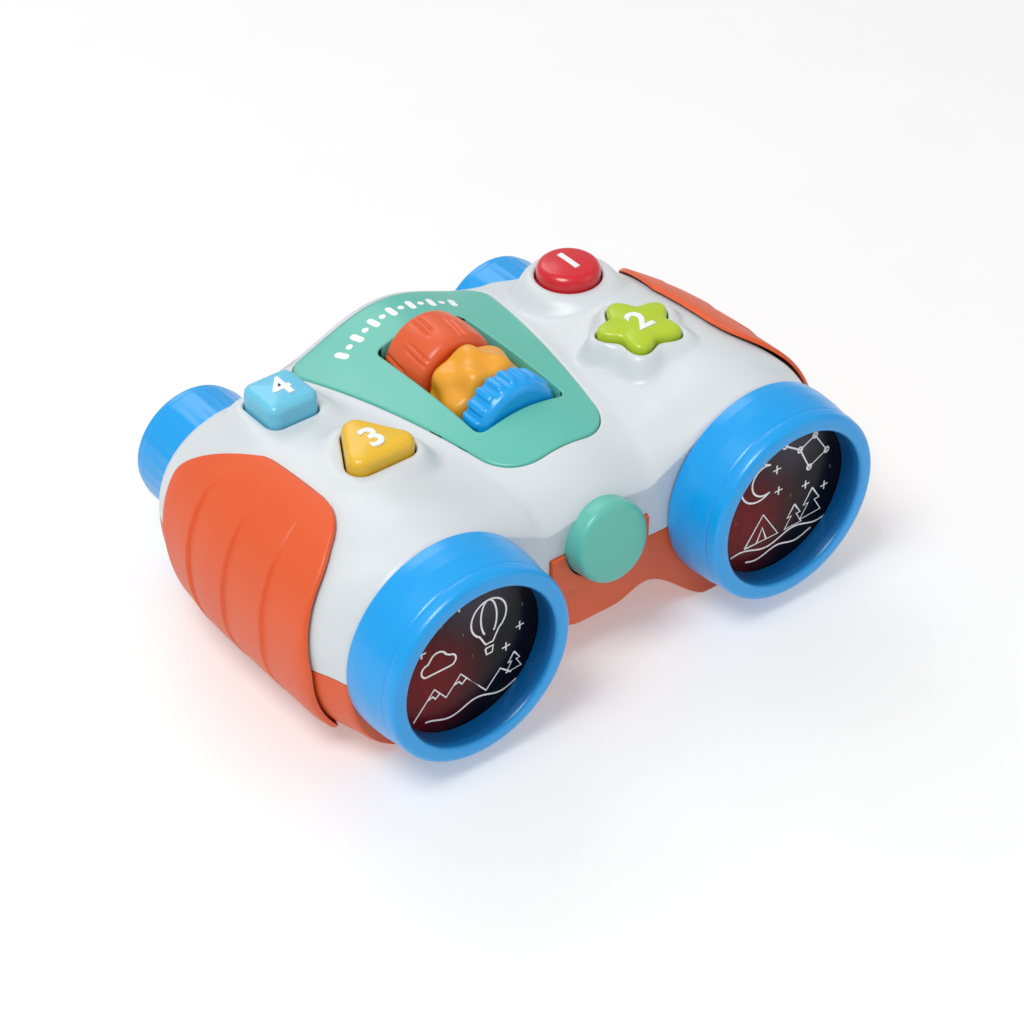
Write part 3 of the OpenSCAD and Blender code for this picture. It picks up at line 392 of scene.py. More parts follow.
def linear(colour: str) -> tuple[float, float, float, float]:
    """Linear RGBA of an sRGB hex colour."""
    parts = [int(colour[i:i + 2], 16) / 255 for i in (1, 3, 5)]
    return (*[c / 12.92 if c <= 0.04045 else ((c + 0.055) / 1.055) ** 2.4 for c in parts], 1.0)


def per_metre(size_mm: float) -> float:
    """Texture scale that makes a pattern repeat about every size_mm millimetres."""
    return 1 / (size_mm * MM)


def add_node(tree: Tree, kind: str, inputs: dict[object, object] | None = None,
             **settings: object) -> Node:
    """Add a shader node with its settings, values and links.

    Args:
        tree: Node tree of the material.
        kind: Type of the node without its prefix.
        inputs: Value or output socket for each input, by name or number.
        settings: Properties of the node.

    Returns:
        The new node.
    """
    node = tree.nodes.new("ShaderNode" + kind)
    for name, value in settings.items():
        setattr(node, name, value)
    for name, value in (inputs or {}).items():
        if isinstance(value, Socket):
            tree.links.new(value, node.inputs[name])
        else:
            node.inputs[name].default_value = value
    return node


@dataclass(frozen=True)
class Finish:
    """What every finish shares: its name and the outer nodes of its material."""

    name: str

    def shader(self, tree: Tree, place: Socket) -> Node:
        """Shader node of the surface in a node tree, laid out on Object coordinates."""
        raise NotImplementedError

    def material(self) -> Material:
        """Build the node material.

        Returns:
            The material, made anew.
        """
        material = bpy.data.materials.new(self.name)
        material.use_nodes = True
        tree = material.node_tree
        tree.nodes.clear()
        place = add_node(tree, "TexCoord").outputs["Object"]
        surface = self.shader(tree, place).outputs["BSDF"]
        add_node(tree, "OutputMaterial", {"Surface": surface})
        return material


@dataclass(frozen=True)
class MouldedPlastic(Finish):
    """Injection-moulded plastic: even colour, a fine eroded grain from the tool and a soft shine."""

    colour: str
    shade: str
    roughness: float = 0.34
    spread: float = 0.03
    grain_mm: float = 0.45
    grain_depth_mm: float = 0.012
    grain_strength: float = 0.35
    flow_mm: float = 26.0
    coat: float = 0.0
    coat_roughness: float = 0.12
    ior: float = 1.53

    def tint(self, tree: Tree, place: Socket) -> Socket:
        """Colour of the plastic: hardly seen drift of the melt's tint over a few centimetres.

        Args:
            tree: Node tree of the material.
            place: Object coordinates.

        Returns:
            The socket that gives the colour.
        """
        flow = add_node(tree, "TexNoise", {
            "Vector": place, "Scale": per_metre(self.flow_mm), "Detail": 3.0, "Roughness": 0.55})
        mix = add_node(tree, "Mix", {
            "Factor": flow.outputs["Fac"], 6: linear(self.colour), 7: linear(self.shade)},
            data_type="RGBA")
        return mix.outputs[2]

    def shader(self, tree: Tree, place: Socket) -> Node:
        """Plastic with the tool's grain in its shine and its bump."""
        # Grain of the tool face, drawn coarser than the real 0.1 mm so that it shows
        grain = add_node(tree, "TexNoise", {
            "Vector": place, "Scale": per_metre(self.grain_mm), "Detail": 2.0})
        polish = add_node(tree, "MapRange", {
            "Value": grain.outputs["Fac"], "From Min": 0.3, "From Max": 0.7,
            "To Min": self.roughness - self.spread, "To Max": self.roughness + self.spread})
        bump = add_node(tree, "Bump", {
            "Height": grain.outputs["Fac"], "Strength": self.grain_strength,
            "Distance": self.grain_depth_mm * MM})
        return add_node(tree, "BsdfPrincipled", {
            "Base Color": self.tint(tree, place), "Roughness": polish.outputs["Result"],
            "Normal": bump.outputs["Normal"], "IOR": self.ior, "Coat Weight": self.coat,
            "Coat Roughness": self.coat_roughness})


@dataclass(frozen=True)
class ShadedBorePlastic(MouldedPlastic):
    """Moulded plastic of a ring whose bore gets painted shade, a dark navy, so that the lens looks deep."""

    axis_x: float = 0.0
    axis_z: float = 0.0
    bore_r: float = 25.7
    edge_mm: float = 1.0
    # Painted shade: dark navy that stands in for the shadow inside the bore
    bore_shade_colour: str = "#082a6e"

    def tint(self, tree: Tree, place: Socket) -> Socket:
        """Colour of the plastic with painted shade inside its bore."""
        spot = add_node(tree, "VectorMath", {
            0: place, 1: (self.axis_x * MM, 0, self.axis_z * MM)}, operation="SUBTRACT")
        flat = add_node(tree, "VectorMath", {
            0: spot.outputs["Vector"], 1: (1, 0, 1)}, operation="MULTIPLY")
        away = add_node(tree, "VectorMath", {0: flat.outputs["Vector"]}, operation="LENGTH")
        share = add_node(tree, "MapRange", {
            "Value": away.outputs["Value"], "From Min": (self.bore_r - self.edge_mm) * MM,
            "From Max": (self.bore_r + self.edge_mm) * MM}, interpolation_type="SMOOTHSTEP")
        mix = add_node(tree, "Mix", {
            "Factor": share.outputs["Result"], 6: linear(self.bore_shade_colour),
            7: super().tint(tree, place)}, data_type="RGBA")
        return mix.outputs[2]


@dataclass(frozen=True)
class SmokedLens(Finish):
    """Smoked acrylic lens over a lamp: near black, with the lamp's dim glow painted into its colour through
    a fine diffuser mesh, and a painted reflection of a bright ceiling high up.
    """

    centre: Point
    dark: str = "#06060d"
    deep: str = "#0a0b26"
    # Painted glow: dim red mixed into the base colour where a lit lamp would shine through
    painted_glow: str = "#7a0d12"
    painted_glow_reach: float = 30.0
    # Painted reflection: pale colour high on the lens, as a bright ceiling would give
    painted_reflection: str = "#4a4450"
    painted_reflection_at: Point = (20.0, 0.0, 24.0)
    painted_reflection_reach: float = 22.0
    painted_reflection_share: float = 0.75
    mesh_mm: float = 5.34
    mesh_dim: float = 0.8

    def painted_glow_share(self, tree: Tree, place: Socket,
                   spot: Socket) -> Socket:
        """Share of the lamp's painted glow: it fades with distance and shows the diffuser mesh.

        Args:
            tree: Node tree of the material.
            place: Object coordinates.
            spot: Coordinates from the middle of the glow.

        Returns:
            The socket that gives the share.
        """
        away = add_node(tree, "VectorMath", {0: spot}, operation="LENGTH")
        light = add_node(tree, "MapRange", {
            "Value": away.outputs["Value"], "From Min": 0.0, "From Max": self.painted_glow_reach * MM,
            "To Min": 1.0, "To Max": 0.0}, interpolation_type="SMOOTHERSTEP")
        # The wave texture runs through 20 radians for each unit of its scale
        rows = [add_node(tree, "TexWave", {
            "Vector": place, "Scale": per_metre(self.mesh_mm) * math.tau / 20},
            bands_direction=axis) for axis in ("X", "Z")]
        weave = add_node(tree, "Math", {
            0: rows[0].outputs["Fac"], 1: rows[1].outputs["Fac"]}, operation="MULTIPLY")
        lit = add_node(tree, "MapRange", {
            "Value": weave.outputs["Value"], "To Min": self.mesh_dim, "To Max": 1.0})
        share = add_node(tree, "Math", {
            0: light.outputs["Result"], 1: lit.outputs["Result"]}, operation="MULTIPLY")
        return share.outputs["Value"]

    def shader(self, tree: Tree, place: Socket) -> Node:
        """Dark smoke with the lamp's glow painted low down and a pale painted reflection high up."""
        spot = add_node(tree, "Mapping", {
            "Vector": place, "Location": [-c * MM for c in self.centre]}, vector_type="POINT")
        middle = spot.outputs["Vector"]
        night = add_node(tree, "TexGradient", {"Vector": middle})
        base = add_node(tree, "Mix", {
            "Factor": night.outputs["Fac"], 6: linear(self.dark), 7: linear(self.deep)},
            data_type="RGBA")
        # Painted glow of the lamp, mixed into the base colour
        lamp = add_node(tree, "Mix", {
            "Factor": self.painted_glow_share(tree, place, middle), 6: base.outputs[2], 7: linear(self.painted_glow)},
            data_type="RGBA")
        # Painted reflection of a bright ceiling: pale colour in the upper part
        high = add_node(tree, "VectorMath", {
            0: middle, 1: [c * MM for c in self.painted_reflection_at]}, operation="DISTANCE")
        painted_reflection_mask = add_node(tree, "MapRange", {
            "Value": high.outputs["Value"], "From Max": self.painted_reflection_reach * MM,
            "To Min": self.painted_reflection_share, "To Max": 0.0}, interpolation_type="SMOOTHERSTEP")
        colour = add_node(tree, "Mix", {
            "Factor": painted_reflection_mask.outputs["Result"], 6: lamp.outputs[2], 7: linear(self.painted_reflection)},
            data_type="RGBA")
        return add_node(tree, "BsdfPrincipled", {
            "Base Color": colour.outputs[2], "Roughness": 0.22, "IOR": 1.49,
            "Specular IOR Level": 0.12})


@dataclass(frozen=True)
class PrintedInk(Finish):
    """Pad-printed ink: matt, a little uneven where the pad lifted."""

    colour: str
    thin: str
    mottle_mm: float = 0.9
    backlight: float = 0.0

    def shader(self, tree: Tree, place: Socket) -> Node:
        """Matt ink that is thinner in small patches."""
        lift = add_node(tree, "TexNoise", {
            "Vector": place, "Scale": per_metre(self.mottle_mm), "Detail": 3.0})
        share = add_node(tree, "MapRange", {
            "Value": lift.outputs["Fac"], "From Min": 0.45, "From Max": 0.8})
        tint = add_node(tree, "Mix", {
            "Factor": share.outputs["Result"], 6: linear(self.colour), 7: linear(self.thin)},
            data_type="RGBA")
        return add_node(tree, "BsdfPrincipled", {
            "Base Color": tint.outputs[2], "Roughness": 0.42, "IOR": 1.5,
            "Emission Color": (1, 1, 1, 1), "Emission Strength": self.backlight})


@dataclass(frozen=True)
class PlatedSteel(Finish):
    """Plated steel: bright grey metal with fine draw marks."""

    colour: str = "#b9bcc2"
    shade: str = "#8f939b"
    mark_mm: float = 0.6

    def shader(self, tree: Tree, place: Socket) -> Node:
        """Metal whose tint and shine follow the draw marks."""
        marks = add_node(tree, "TexNoise", {
            "Vector": place, "Scale": per_metre(self.mark_mm), "Detail": 5.0, "Distortion": 1.5})
        tint = add_node(tree, "Mix", {
            "Factor": marks.outputs["Fac"], 6: linear(self.colour), 7: linear(self.shade)},
            data_type="RGBA")
        rough = add_node(tree, "MapRange", {
            "Value": marks.outputs["Fac"], "To Min": 0.22, "To Max": 0.42})
        return add_node(tree, "BsdfPrincipled", {
            "Base Color": tint.outputs[2], "Roughness": rough.outputs["Result"], "Metallic": 1.0})


@dataclass(frozen=True)
class ClearLens(Finish):
    """Clear moulded acrylic: see-through, with a faint grey edge and a glossy face."""

    colour: str = "#dfeaf0"
    ripple_mm: float = 6.0
    ripple_depth_mm: float = 0.05

    def shader(self, tree: Tree, place: Socket) -> Node:
        """Glossy clear plastic with a faint ripple."""
        ripple = add_node(tree, "TexNoise", {
            "Vector": place, "Scale": per_metre(self.ripple_mm), "Detail": 1.0})
        bump = add_node(tree, "Bump", {
            "Height": ripple.outputs["Fac"], "Strength": 0.2, "Distance": self.ripple_depth_mm * MM})
        return add_node(tree, "BsdfPrincipled", {
            "Base Color": linear(self.colour), "Roughness": 0.05, "IOR": 1.49,
            "Transmission Weight": 0.85, "Normal": bump.outputs["Normal"]})


BLUE_TINTS = ("#02a0ea", "#0098e2")
BLUE_ROUGHNESS = 0.3
BLUE_COAT = 0.1
SATIN_GRAIN = 0.006
POLISHED_GRAIN = 0.004


class Stock(Enum):
    """Every finish that pieces share, made once."""

    # Satin ABS: wide soft highlights that keep the body's colour
    WHITE = MouldedPlastic("abs_white_satin_moulded", "#d3d9dc", "#cdd3d6", 0.36, grain_depth_mm=0.005)
    ORANGE = MouldedPlastic("abs_orange_fine_texture", "#e05a26", "#d95524", 0.46, grain_mm=0.5)
    TEAL = MouldedPlastic("abs_teal_satin_moulded", "#62bcac", "#5bb5a5", grain_depth_mm=SATIN_GRAIN)
    CORAL = MouldedPlastic("abs_coral_wheel_moulded", "#df5c2c", "#d75628", 0.36,
                           grain_depth_mm=SATIN_GRAIN)
    AMBER = MouldedPlastic("abs_amber_wheel_moulded", "#eaa22a", "#e39a24", grain_depth_mm=SATIN_GRAIN)
    # Semi-gloss ABS: the same stock from a polished tool, so highlights are tighter
    BLUE = MouldedPlastic("abs_blue_polished_moulded", *BLUE_TINTS, BLUE_ROUGHNESS, coat=BLUE_COAT,
                          grain_depth_mm=POLISHED_GRAIN)
    RED = MouldedPlastic("abs_red_polished_moulded", "#d41f2b", "#cb1a26", 0.24, coat=0.2,
                         grain_depth_mm=POLISHED_GRAIN)
    LIME = MouldedPlastic("abs_lime_moulded", "#b4cc28", "#acc324", 0.3, grain_depth_mm=POLISHED_GRAIN)
    YELLOW = MouldedPlastic("abs_yellow_moulded", "#e6ba30", "#e0b22a", 0.3,
                            grain_depth_mm=POLISHED_GRAIN)
    SKY = MouldedPlastic("abs_sky_blue_moulded", "#6cc4e2", "#64bcda", 0.28,
                         grain_depth_mm=POLISHED_GRAIN)
    # Silicone rubber and inner plastics: dull and even
    RUBBER = MouldedPlastic("silicone_rubber_pressed", "#c9c9c6", "#bfbfbc", 0.6)
    BOARD = MouldedPlastic("fibreglass_board_lacquered", "#1f6b3a", "#185a30", 0.35, grain_mm=0.8)
    INNER = MouldedPlastic("polystyrene_white_moulded", "#f0f0ec", "#e6e6e0", 0.4)
    CHARCOAL = MouldedPlastic("abs_charcoal_moulded", "#2a2c31", "#23252a", 0.42)
    CELL = MouldedPlastic("printed_film_cell_wrap", "#c8922e", "#b9842a", 0.3)
    # Clear acrylic, plated metal and ink: glassy, bright and matt in turn
    CLEAR = ClearLens("acrylic_clear_moulded")
    STEEL = PlatedSteel("zinc_plated_steel")
    CONTACT = PlatedSteel("nickel_plated_spring", "#cfcabf", "#aaa69c")
    INK = PrintedInk("pad_print_white", "#f4f5f5", "#e2e5e6")
    MARK = PrintedInk("raised_mark_white_paint", "#eceff0", "#dde3e6")


Finishes = dict[Stock, Material]


# Outlines in plan


@dataclass(frozen=True)
class Outline:
    """Convex outline with round corners: a polygon of arc centres and one corner radius."""

    centres: tuple[Flat, ...]
    radius: float

    def distance(self, x: float, y: float) -> float:
        """Distance of a spot from the outline.

        Args:
            x: Place of the spot.
            y: Place of the spot.

        Returns:
            The distance, negative inside.
        """
        count = len(self.centres)
        spot = Vector((x, y))
        if count == 1:
            return (spot - Vector(self.centres[0])).length - self.radius
        best, inside = math.inf, True
        for i in range(count):
            a, b = Vector(self.centres[i]), Vector(self.centres[(i + 1) % count])
            along, to = b - a, spot - a
            share = clamp(to.dot(along) / along.length_squared)
            best = min(best, (to - along * share).length)
            inside = inside and along.x * to.y - along.y * to.x >= 0
        return (-best if inside else best) - self.radius

    def loop(self, grow: float, step: float) -> list[Flat]:
        """Points round the outline grown by a distance.

        Args:
            grow: Distance outwards, negative inwards.
            step: Greatest spacing of the points.

        Returns:
            The points, anticlockwise.
        """
        count = len(self.centres)
        reach = self.radius + grow
        if count == 1:
            parts = max(16, math.ceil(math.tau * reach / step))
            (cx, cy), = self.centres
            return [polar(cx, cy, reach, math.tau * i / parts) for i in range(parts)]
        points: list[Flat] = []
        for i in range(count):
            before, here, after = (Vector(self.centres[(i + k) % count]) for k in (-1, 0, 1))
            start = math.atan2(*(reversed((here - before).normalized()))) - math.pi / 2
            end = math.atan2(*(reversed((after - here).normalized()))) - math.pi / 2
            turn = (end - start) % math.tau
            parts = max(4, math.ceil(turn * max(reach, 0.2) / step))
            arc = [start + turn * k / parts for k in range(parts + 1)]
            points += [polar(here.x, here.y, reach, a) for a in arc]
            edge = after - here
            pieces = max(1, math.ceil(edge.length / step))
            out = Vector((math.cos(end), math.sin(end))) * reach
            points += [tuple(here + out + edge * (k / pieces)) for k in range(1, pieces)]
        return points


@dataclass(frozen=True)
class StarOutline:
    """Soft five-pointed outline given by its radius over the angle."""

    x: float
    y: float
    tip: float
    waist: float
    points: int = 5

    def reach(self, angle: float) -> float:
        """Radius of the outline at an angle."""
        lobe = math.cos(self.points / 2 * (angle - math.pi / 2)) ** 2
        return self.tip * (self.waist + (1 - self.waist) * lobe)

    def distance(self, x: float, y: float) -> float:
        """Distance of a spot beyond the outline along its radius."""
        dx, dy = x - self.x, y - self.y
        return math.hypot(dx, dy) - self.reach(math.atan2(dy, dx))

    def loop(self, grow: float, step: float) -> list[Flat]:
        """Points round the outline grown by a distance, anticlockwise."""
        parts = max(60, math.ceil(math.tau * (self.tip + grow) / step))
        angles = [math.tau * i / parts for i in range(parts)]
        return [polar(self.x, self.y, self.reach(a) + grow, a) for a in angles]


def regular(count: int, x: float, y: float, reach: float, radius: float, first: float) -> Outline:
    """Regular outline with round corners.

    Args:
        count: Number of corners.
        x: Place of the middle.
        y: Place of the middle.
        reach: Distance from the middle to the tip of a corner.
        radius: Corner radius.
        first: Direction of the first corner in degrees.

    Returns:
        The outline.
    """
    turns = [math.radians(first + 360 * i / count) for i in range(count)]
    arm = reach - radius
    return Outline(tuple(polar(x, y, arm, a) for a in turns), radius)


@dataclass(frozen=True)
class Nosed:
    """Outline whose front corners and rear corners have radii of their own."""

    nose: Outline
    tail: Outline

    def distance(self, x: float, y: float) -> float:
        """Distance of a spot from the outline, negative inside."""
        return max(self.nose.distance(x, y), self.tail.distance(x, y))

    def loop(self, grow: float, step: float) -> list[Flat]:
        """Points round the outline grown by a distance, anticlockwise."""
        points = [p for p in self.nose.loop(grow, step) if p[1] < 0]
        points += [p for p in self.tail.loop(grow, step) if p[1] >= 0]
        return sorted(points, key=lambda p: math.atan2(p[1], p[0]))


def tapered(front: float, back: float, front_w: float, back_w: float, corner: float) -> Outline:
    """Outline that is mirror-symmetric in X and widens from front to back.

    Args:
        front: Y of the front edge.
        back: Y of the rear edge.
        front_w: Half width at the front edge.
        back_w: Half width at the rear edge.
        corner: Corner radius.

    Returns:
        The outline.
    """
    slope = math.atan2(back - front, back_w - front_w)
    x0 = front_w - corner * math.tan(slope / 2)
    x1 = back_w - corner / math.tan(slope / 2)
    y0, y1 = front + corner, back - corner
    return Outline(((-x0, y0), (x0, y0), (x1, y1), (-x1, y1)), corner)


def on_outline(edge: bmesh.types.BMEdge, outline: "Well") -> bool:
    """Whether an edge lies on the open border of a sheet and along an outline."""
    return edge.is_boundary and all(
        abs(outline.distance(v.co.x / MM, v.co.y / MM)) < ON_OUTLINE for v in edge.verts)


Well = Outline | StarOutline | Nosed


# Places that several pieces share


@dataclass(frozen=True)
class Axes:
    """Axes and fits that the shells share with the pieces set into them."""

    barrel_x: float = 57.5
    objective_z: float = 36.3
    spigot_r: float = 28.2
    eyecup_z: float = 28.8
    disc_y: float = -52.8
    disc_z: float = 42.4
    disc_r: float = 12.6
    disc_tilt: float = 10.0


AXES = Axes()


class Shape(Enum):
    """Outline of a top button."""

    ROUND = "round"
    STAR = "star"
    TRIANGLE = "triangle"
    SQUARE = "square"


@dataclass(frozen=True)
class ButtonPlan:
    """Place and outline of one top button, which its cap, its well and the skin round it share."""

    word: str
    number: str
    shape: Shape
    x: float
    y: float
    reach: float
    corner: float
    top: float
    base: float
    edge: float
    crown: float
    boss: float
    seat_rise: float
    seat_run: float

    def outline(self, gap: float = 0.0) -> Well:
        """Outline of the cap, or of its well.

        Args:
            gap: Distance outside the cap.

        Returns:
            The outline in plan.
        """
        if self.shape is Shape.ROUND:
            return Outline(((self.x, self.y),), self.reach + gap)
        if self.shape is Shape.STAR:
            waist = self.corner + (1 - self.corner) * gap / (self.reach + gap)
            return StarOutline(self.x, self.y, self.reach + gap, waist)
        count, first = (3, 90) if self.shape is Shape.TRIANGLE else (4, 45)
        return regular(count, self.x, self.y, self.reach + gap, self.corner + gap, first)


SQUARE_HALF = 8.5
SQUARE_CORNER = SQUARE_HALF * 0.38
SQUARE_REACH = (SQUARE_HALF - SQUARE_CORNER) * math.sqrt(2) + SQUARE_CORNER
STAR_WAIST = 0.7
BUTTONS = (
    ButtonPlan("red", "1", Shape.ROUND, 53.3, 28.0, reach=10.0, corner=0.0, top=72.6, base=60.0,
               edge=3.0, crown=0.5, boss=4.6, seat_rise=0.2, seat_run=7.5),
    ButtonPlan("star", "2", Shape.STAR, 48.0, -11.5, reach=13.0, corner=STAR_WAIST, top=74.2, base=61.0,
               edge=1.8, crown=0.5, boss=0.8, seat_rise=2.8, seat_run=5.0),
    ButtonPlan("triangle", "3", Shape.TRIANGLE, -48.0, -9.8, reach=12.0, corner=4.32, top=74.2, base=61.0,
               edge=2.4, crown=0.5, boss=1.6, seat_rise=0.2, seat_run=6.0),
    ButtonPlan("square", "4", Shape.SQUARE, -53.3, 28.0, reach=SQUARE_REACH, corner=SQUARE_CORNER,
               top=72.6, base=58.0, edge=2.4, crown=0.6, boss=1.2, seat_rise=1.2, seat_run=7.5),
)


# The body


@dataclass(frozen=True)
class BodyForm:
    """Sections of the moulded body, which the shells, the grips and the panel follow."""

    barrel_x: float = AXES.barrel_x
    front: float = 52.5
    back: float = 54.0
    part_z: float = 32.5
    part_gap: float = 0.3
    barrel_side: float = 35.8
    crest_z: float = 69.0
    crest_fall: float = 14.5
    bridge_z: float = 68.4
    valley_z: float = 63.3
    arch_z: float = 16.2
    arch_w: float = 17.5
    edge_turn: float = 0.9
    front_edge: float = 2.0
    front_flare: float = 4.3
    flare_len: float = 16.0
    crest_dip: float = 1.6
    crest_y: float = -18.0
    crest_round: float = 10.0
    side_round: float = 22.0
    rear_taper: float = 3.2
    taper_y: float = 5.0
    taper_len: float = 35.0
    bridge_y: float = 10.0
    bridge_fall: float = 7.8
    bridge_drop: float = 1.0
    brow_round: float = 14.0
    rim_round: float = 3.0
    valley_y: float = -3.0
    valley_fall: float = 5.2
    valley_drop: float = 7.3
    valley_off: float = 5.0
    flank_front: float = 0.35
    flank_mid: float = 0.15
    flank_len: float = 24.0
    belly_round: float = 14.0
    belly_n: float = 2.3
    arch_round: float = 4.0
    foot_cut: float = 0.7
    foot_x: float = 45.0
    lip: float = 3.1
    lip_flat: float = 6.0
    lip_ramp: float = 12.0
    lip_len: float = 17.0
    boss_in: float = 9.5
    boss_out: float = 18.0
    side_run: float = 56.0
    panel_front: float = 35.4
    panel_back: float = 52.6
    panel_front_w: float = 18.6
    panel_back_w: float = 37.3
    panel_nose: float = 14.0
    panel_corner: float = 7.0
    panel_past: float = 30.0

    def round_off(self, depth: float, radius: float) -> float:
        """Drop of a rounded edge at a depth from the end face."""
        return radius * quarter(self.edge_turn * clamp((radius - depth) / radius))

    def flare(self, y: float) -> float:
        """Share of the narrowing behind the front face."""
        return 1 - smooth((self.front + y) / self.flare_len)

    def side(self, y: float) -> float:
        """Reach of a barrel outside its axis."""
        return (self.barrel_side - self.front_flare * self.flare(y)
                - self.rear_taper * smooth((y - self.taper_y) / self.taper_len)
                - self.round_off(self.back - y, self.side_round)
                - self.round_off(self.front + y, self.front_edge))

    def crest(self, y: float) -> float:
        """Height of a barrel's crest."""
        return (self.crest_z - self.crest_dip * self.flare(y)
                - self.crest_fall * run_out((y - self.crest_y) / (self.back - self.crest_y))
                - self.round_off(self.back - y, self.crest_round)
                - self.round_off(self.front + y, self.front_edge))

    def ends(self, y: float) -> float:
        """Drop of the bridge towards its front brow and rear rim."""
        return (self.round_off(self.front + y, self.brow_round)
                + self.round_off(self.back - y, self.rim_round))

    def bridge(self, y: float) -> float:
        """Height of the bridge's crown."""
        return (self.bridge_z - self.ends(y)
                - self.bridge_fall * run_out((self.bridge_y - y) / (self.front + self.bridge_y))
                - self.bridge_drop * run_out((y - self.bridge_y) / (self.back - self.bridge_y)))

    def valley(self, y: float) -> float:
        """Height of the valleys beside the bridge."""
        return (self.valley_z - self.ends(y)
                - self.valley_fall * run_out((self.valley_y - y) / (self.front + self.valley_y))
                - self.valley_drop * run_out((y - self.valley_y) / (self.back - self.valley_y)))

    def valley_x(self, y: float) -> float:
        """Distance of the valleys from the middle."""
        share = (y + self.panel_front) / (self.panel_back + self.panel_front)
        return lerp(self.panel_front_w, self.panel_back_w, share) + self.valley_off

    def flank(self, t: float, y: float) -> float:
        """Rise from a valley to the crest."""
        full = lerp(self.flank_front, self.flank_mid, smooth((self.front + y) / self.flank_len))
        return lerp(smooth(t), math.sqrt(max(0.0, 1 - (1 - t) ** 2)), full)

    def floor(self, y: float) -> float:
        """Height of a barrel's underside."""
        return -self.foot_cut + self.round_off(self.back - y, self.belly_round)

    def boss(self, x: float, y: float) -> float:
        """Rise of the skin round the four buttons."""
        return sum(b.boss * (1 - smooth((math.hypot(x - b.x, y - b.y) - self.boss_in)
                                        / (self.boss_out - self.boss_in))) for b in BUTTONS)

    def top(self, x: float, y: float) -> float:
        """Height of the upper skin inside the barrel axes and a little beyond.

        Args:
            x: Place across the body.
            y: Place along the body.

        Returns:
            The height in millimetres.
        """
        a, vx = abs(x), self.valley_x(y)
        if a <= vx:
            z = lerp(self.valley(y), self.bridge(y), wave(a / vx))
        elif a <= self.barrel_x:
            z = lerp(self.valley(y), self.crest(y), self.flank((a - vx) / (self.barrel_x - vx), y))
        else:
            share = (a - self.barrel_x) / self.side(y)
            z = self.part_z + (self.crest(y) - self.part_z) * math.sqrt(max(0.0, 1 - share ** 2))
        return z + self.boss(x, y)

    def arch(self, x: float, y: float) -> float:
        """Height of the roof of the arch under the bridge."""
        return (self.arch_z + self.round_off(self.back - y, self.arch_round)
                - self.lip * wave((x - self.lip_flat) / self.lip_ramp)
                * (1 - smooth((self.front + y) / self.lip_len)))

    def belly(self, x: float, y: float) -> float:
        """Height of the lower skin inside the barrel axes.

        Args:
            x: Place across the body.
            y: Place along the body.

        Returns:
            The height in millimetres.
        """
        a = abs(x)
        if a <= self.arch_w:
            return self.arch(a, y)
        if a <= self.foot_x:
            share = smooth((a - self.arch_w) / (self.foot_x - self.arch_w))
            return lerp(self.arch(self.arch_w, y), self.floor(y), share)
        return self.floor(y)

    def unrolled(self, x: float, y: float, power: float) -> float:
        """Place across the unrolled skin of a spot in plan.

        Args:
            x: Place across the body.
            y: Place along the body.
            power: Fullness of the section, 1 on the upper skin.

        Returns:
            The place in millimetres, with the sign of x.
        """
        reach = abs(x) - self.barrel_x
        if reach <= 0:
            return x
        turn = math.asin(clamp(reach / self.side(y)) ** power) / (math.pi / 2)
        return math.copysign(self.barrel_x + self.side_run * turn, x)

    def upper(self, u: float, y: float) -> Point:
        """Point of the upper skin at a place across the unrolled skin.

        Args:
            u: Place across the unrolled skin.
            y: Place along the body.

        Returns:
            The point in millimetres.
        """
        reach = abs(u) - self.barrel_x
        if reach <= 0:
            return (u, y, self.top(u, y))
        base = self.part_z + self.part_gap / 2
        turn = reach / self.side_run * math.pi / 2
        x = math.copysign(self.barrel_x + self.side(y) * math.sin(turn), u)
        rise = self.crest(y) - base + self.boss(x, y)
        return (x, y, base + rise * max(0.0, math.cos(turn)))

    def lower(self, u: float, y: float) -> Point:
        """Point of the lower skin at a place across the unrolled skin.

        Args:
            u: Place across the unrolled skin.
            y: Place along the body.

        Returns:
            The point in millimetres.
        """
        reach = abs(u) - self.barrel_x
        if reach <= 0:
            return (u, y, max(0.0, self.belly(u, y)))
        base = self.part_z - self.part_gap / 2
        turn = reach / self.side_run * math.pi / 2
        out = math.sin(turn) ** (2 / self.belly_n)
        down = max(0.0, math.cos(turn)) ** (2 / self.belly_n)
        x = math.copysign(self.barrel_x + self.side(y) * out, u)
        return (x, y, max(0.0, base - (base - self.floor(y)) * down))

    def panel(self, grow: float = 0.0) -> Nosed:
        """Outline of the centre panel, whose nose is rounder than its rear corners.

        Args:
            grow: Distance outwards.

        Returns:
            The outline in plan.
        """
        front, back, past = -self.panel_front, self.panel_back, self.panel_past
        front_w, back_w = self.panel_front_w, self.panel_back_w
        lean = (back_w - front_w) / (back - front) * past
        nose = tapered(front, back + past, front_w, back_w + lean, self.panel_nose)
        tail = tapered(front - past, back, front_w - lean, back_w, self.panel_corner)
        return Nosed(Outline(nose.centres, nose.radius + grow),
                     Outline(tail.centres, tail.radius + grow))


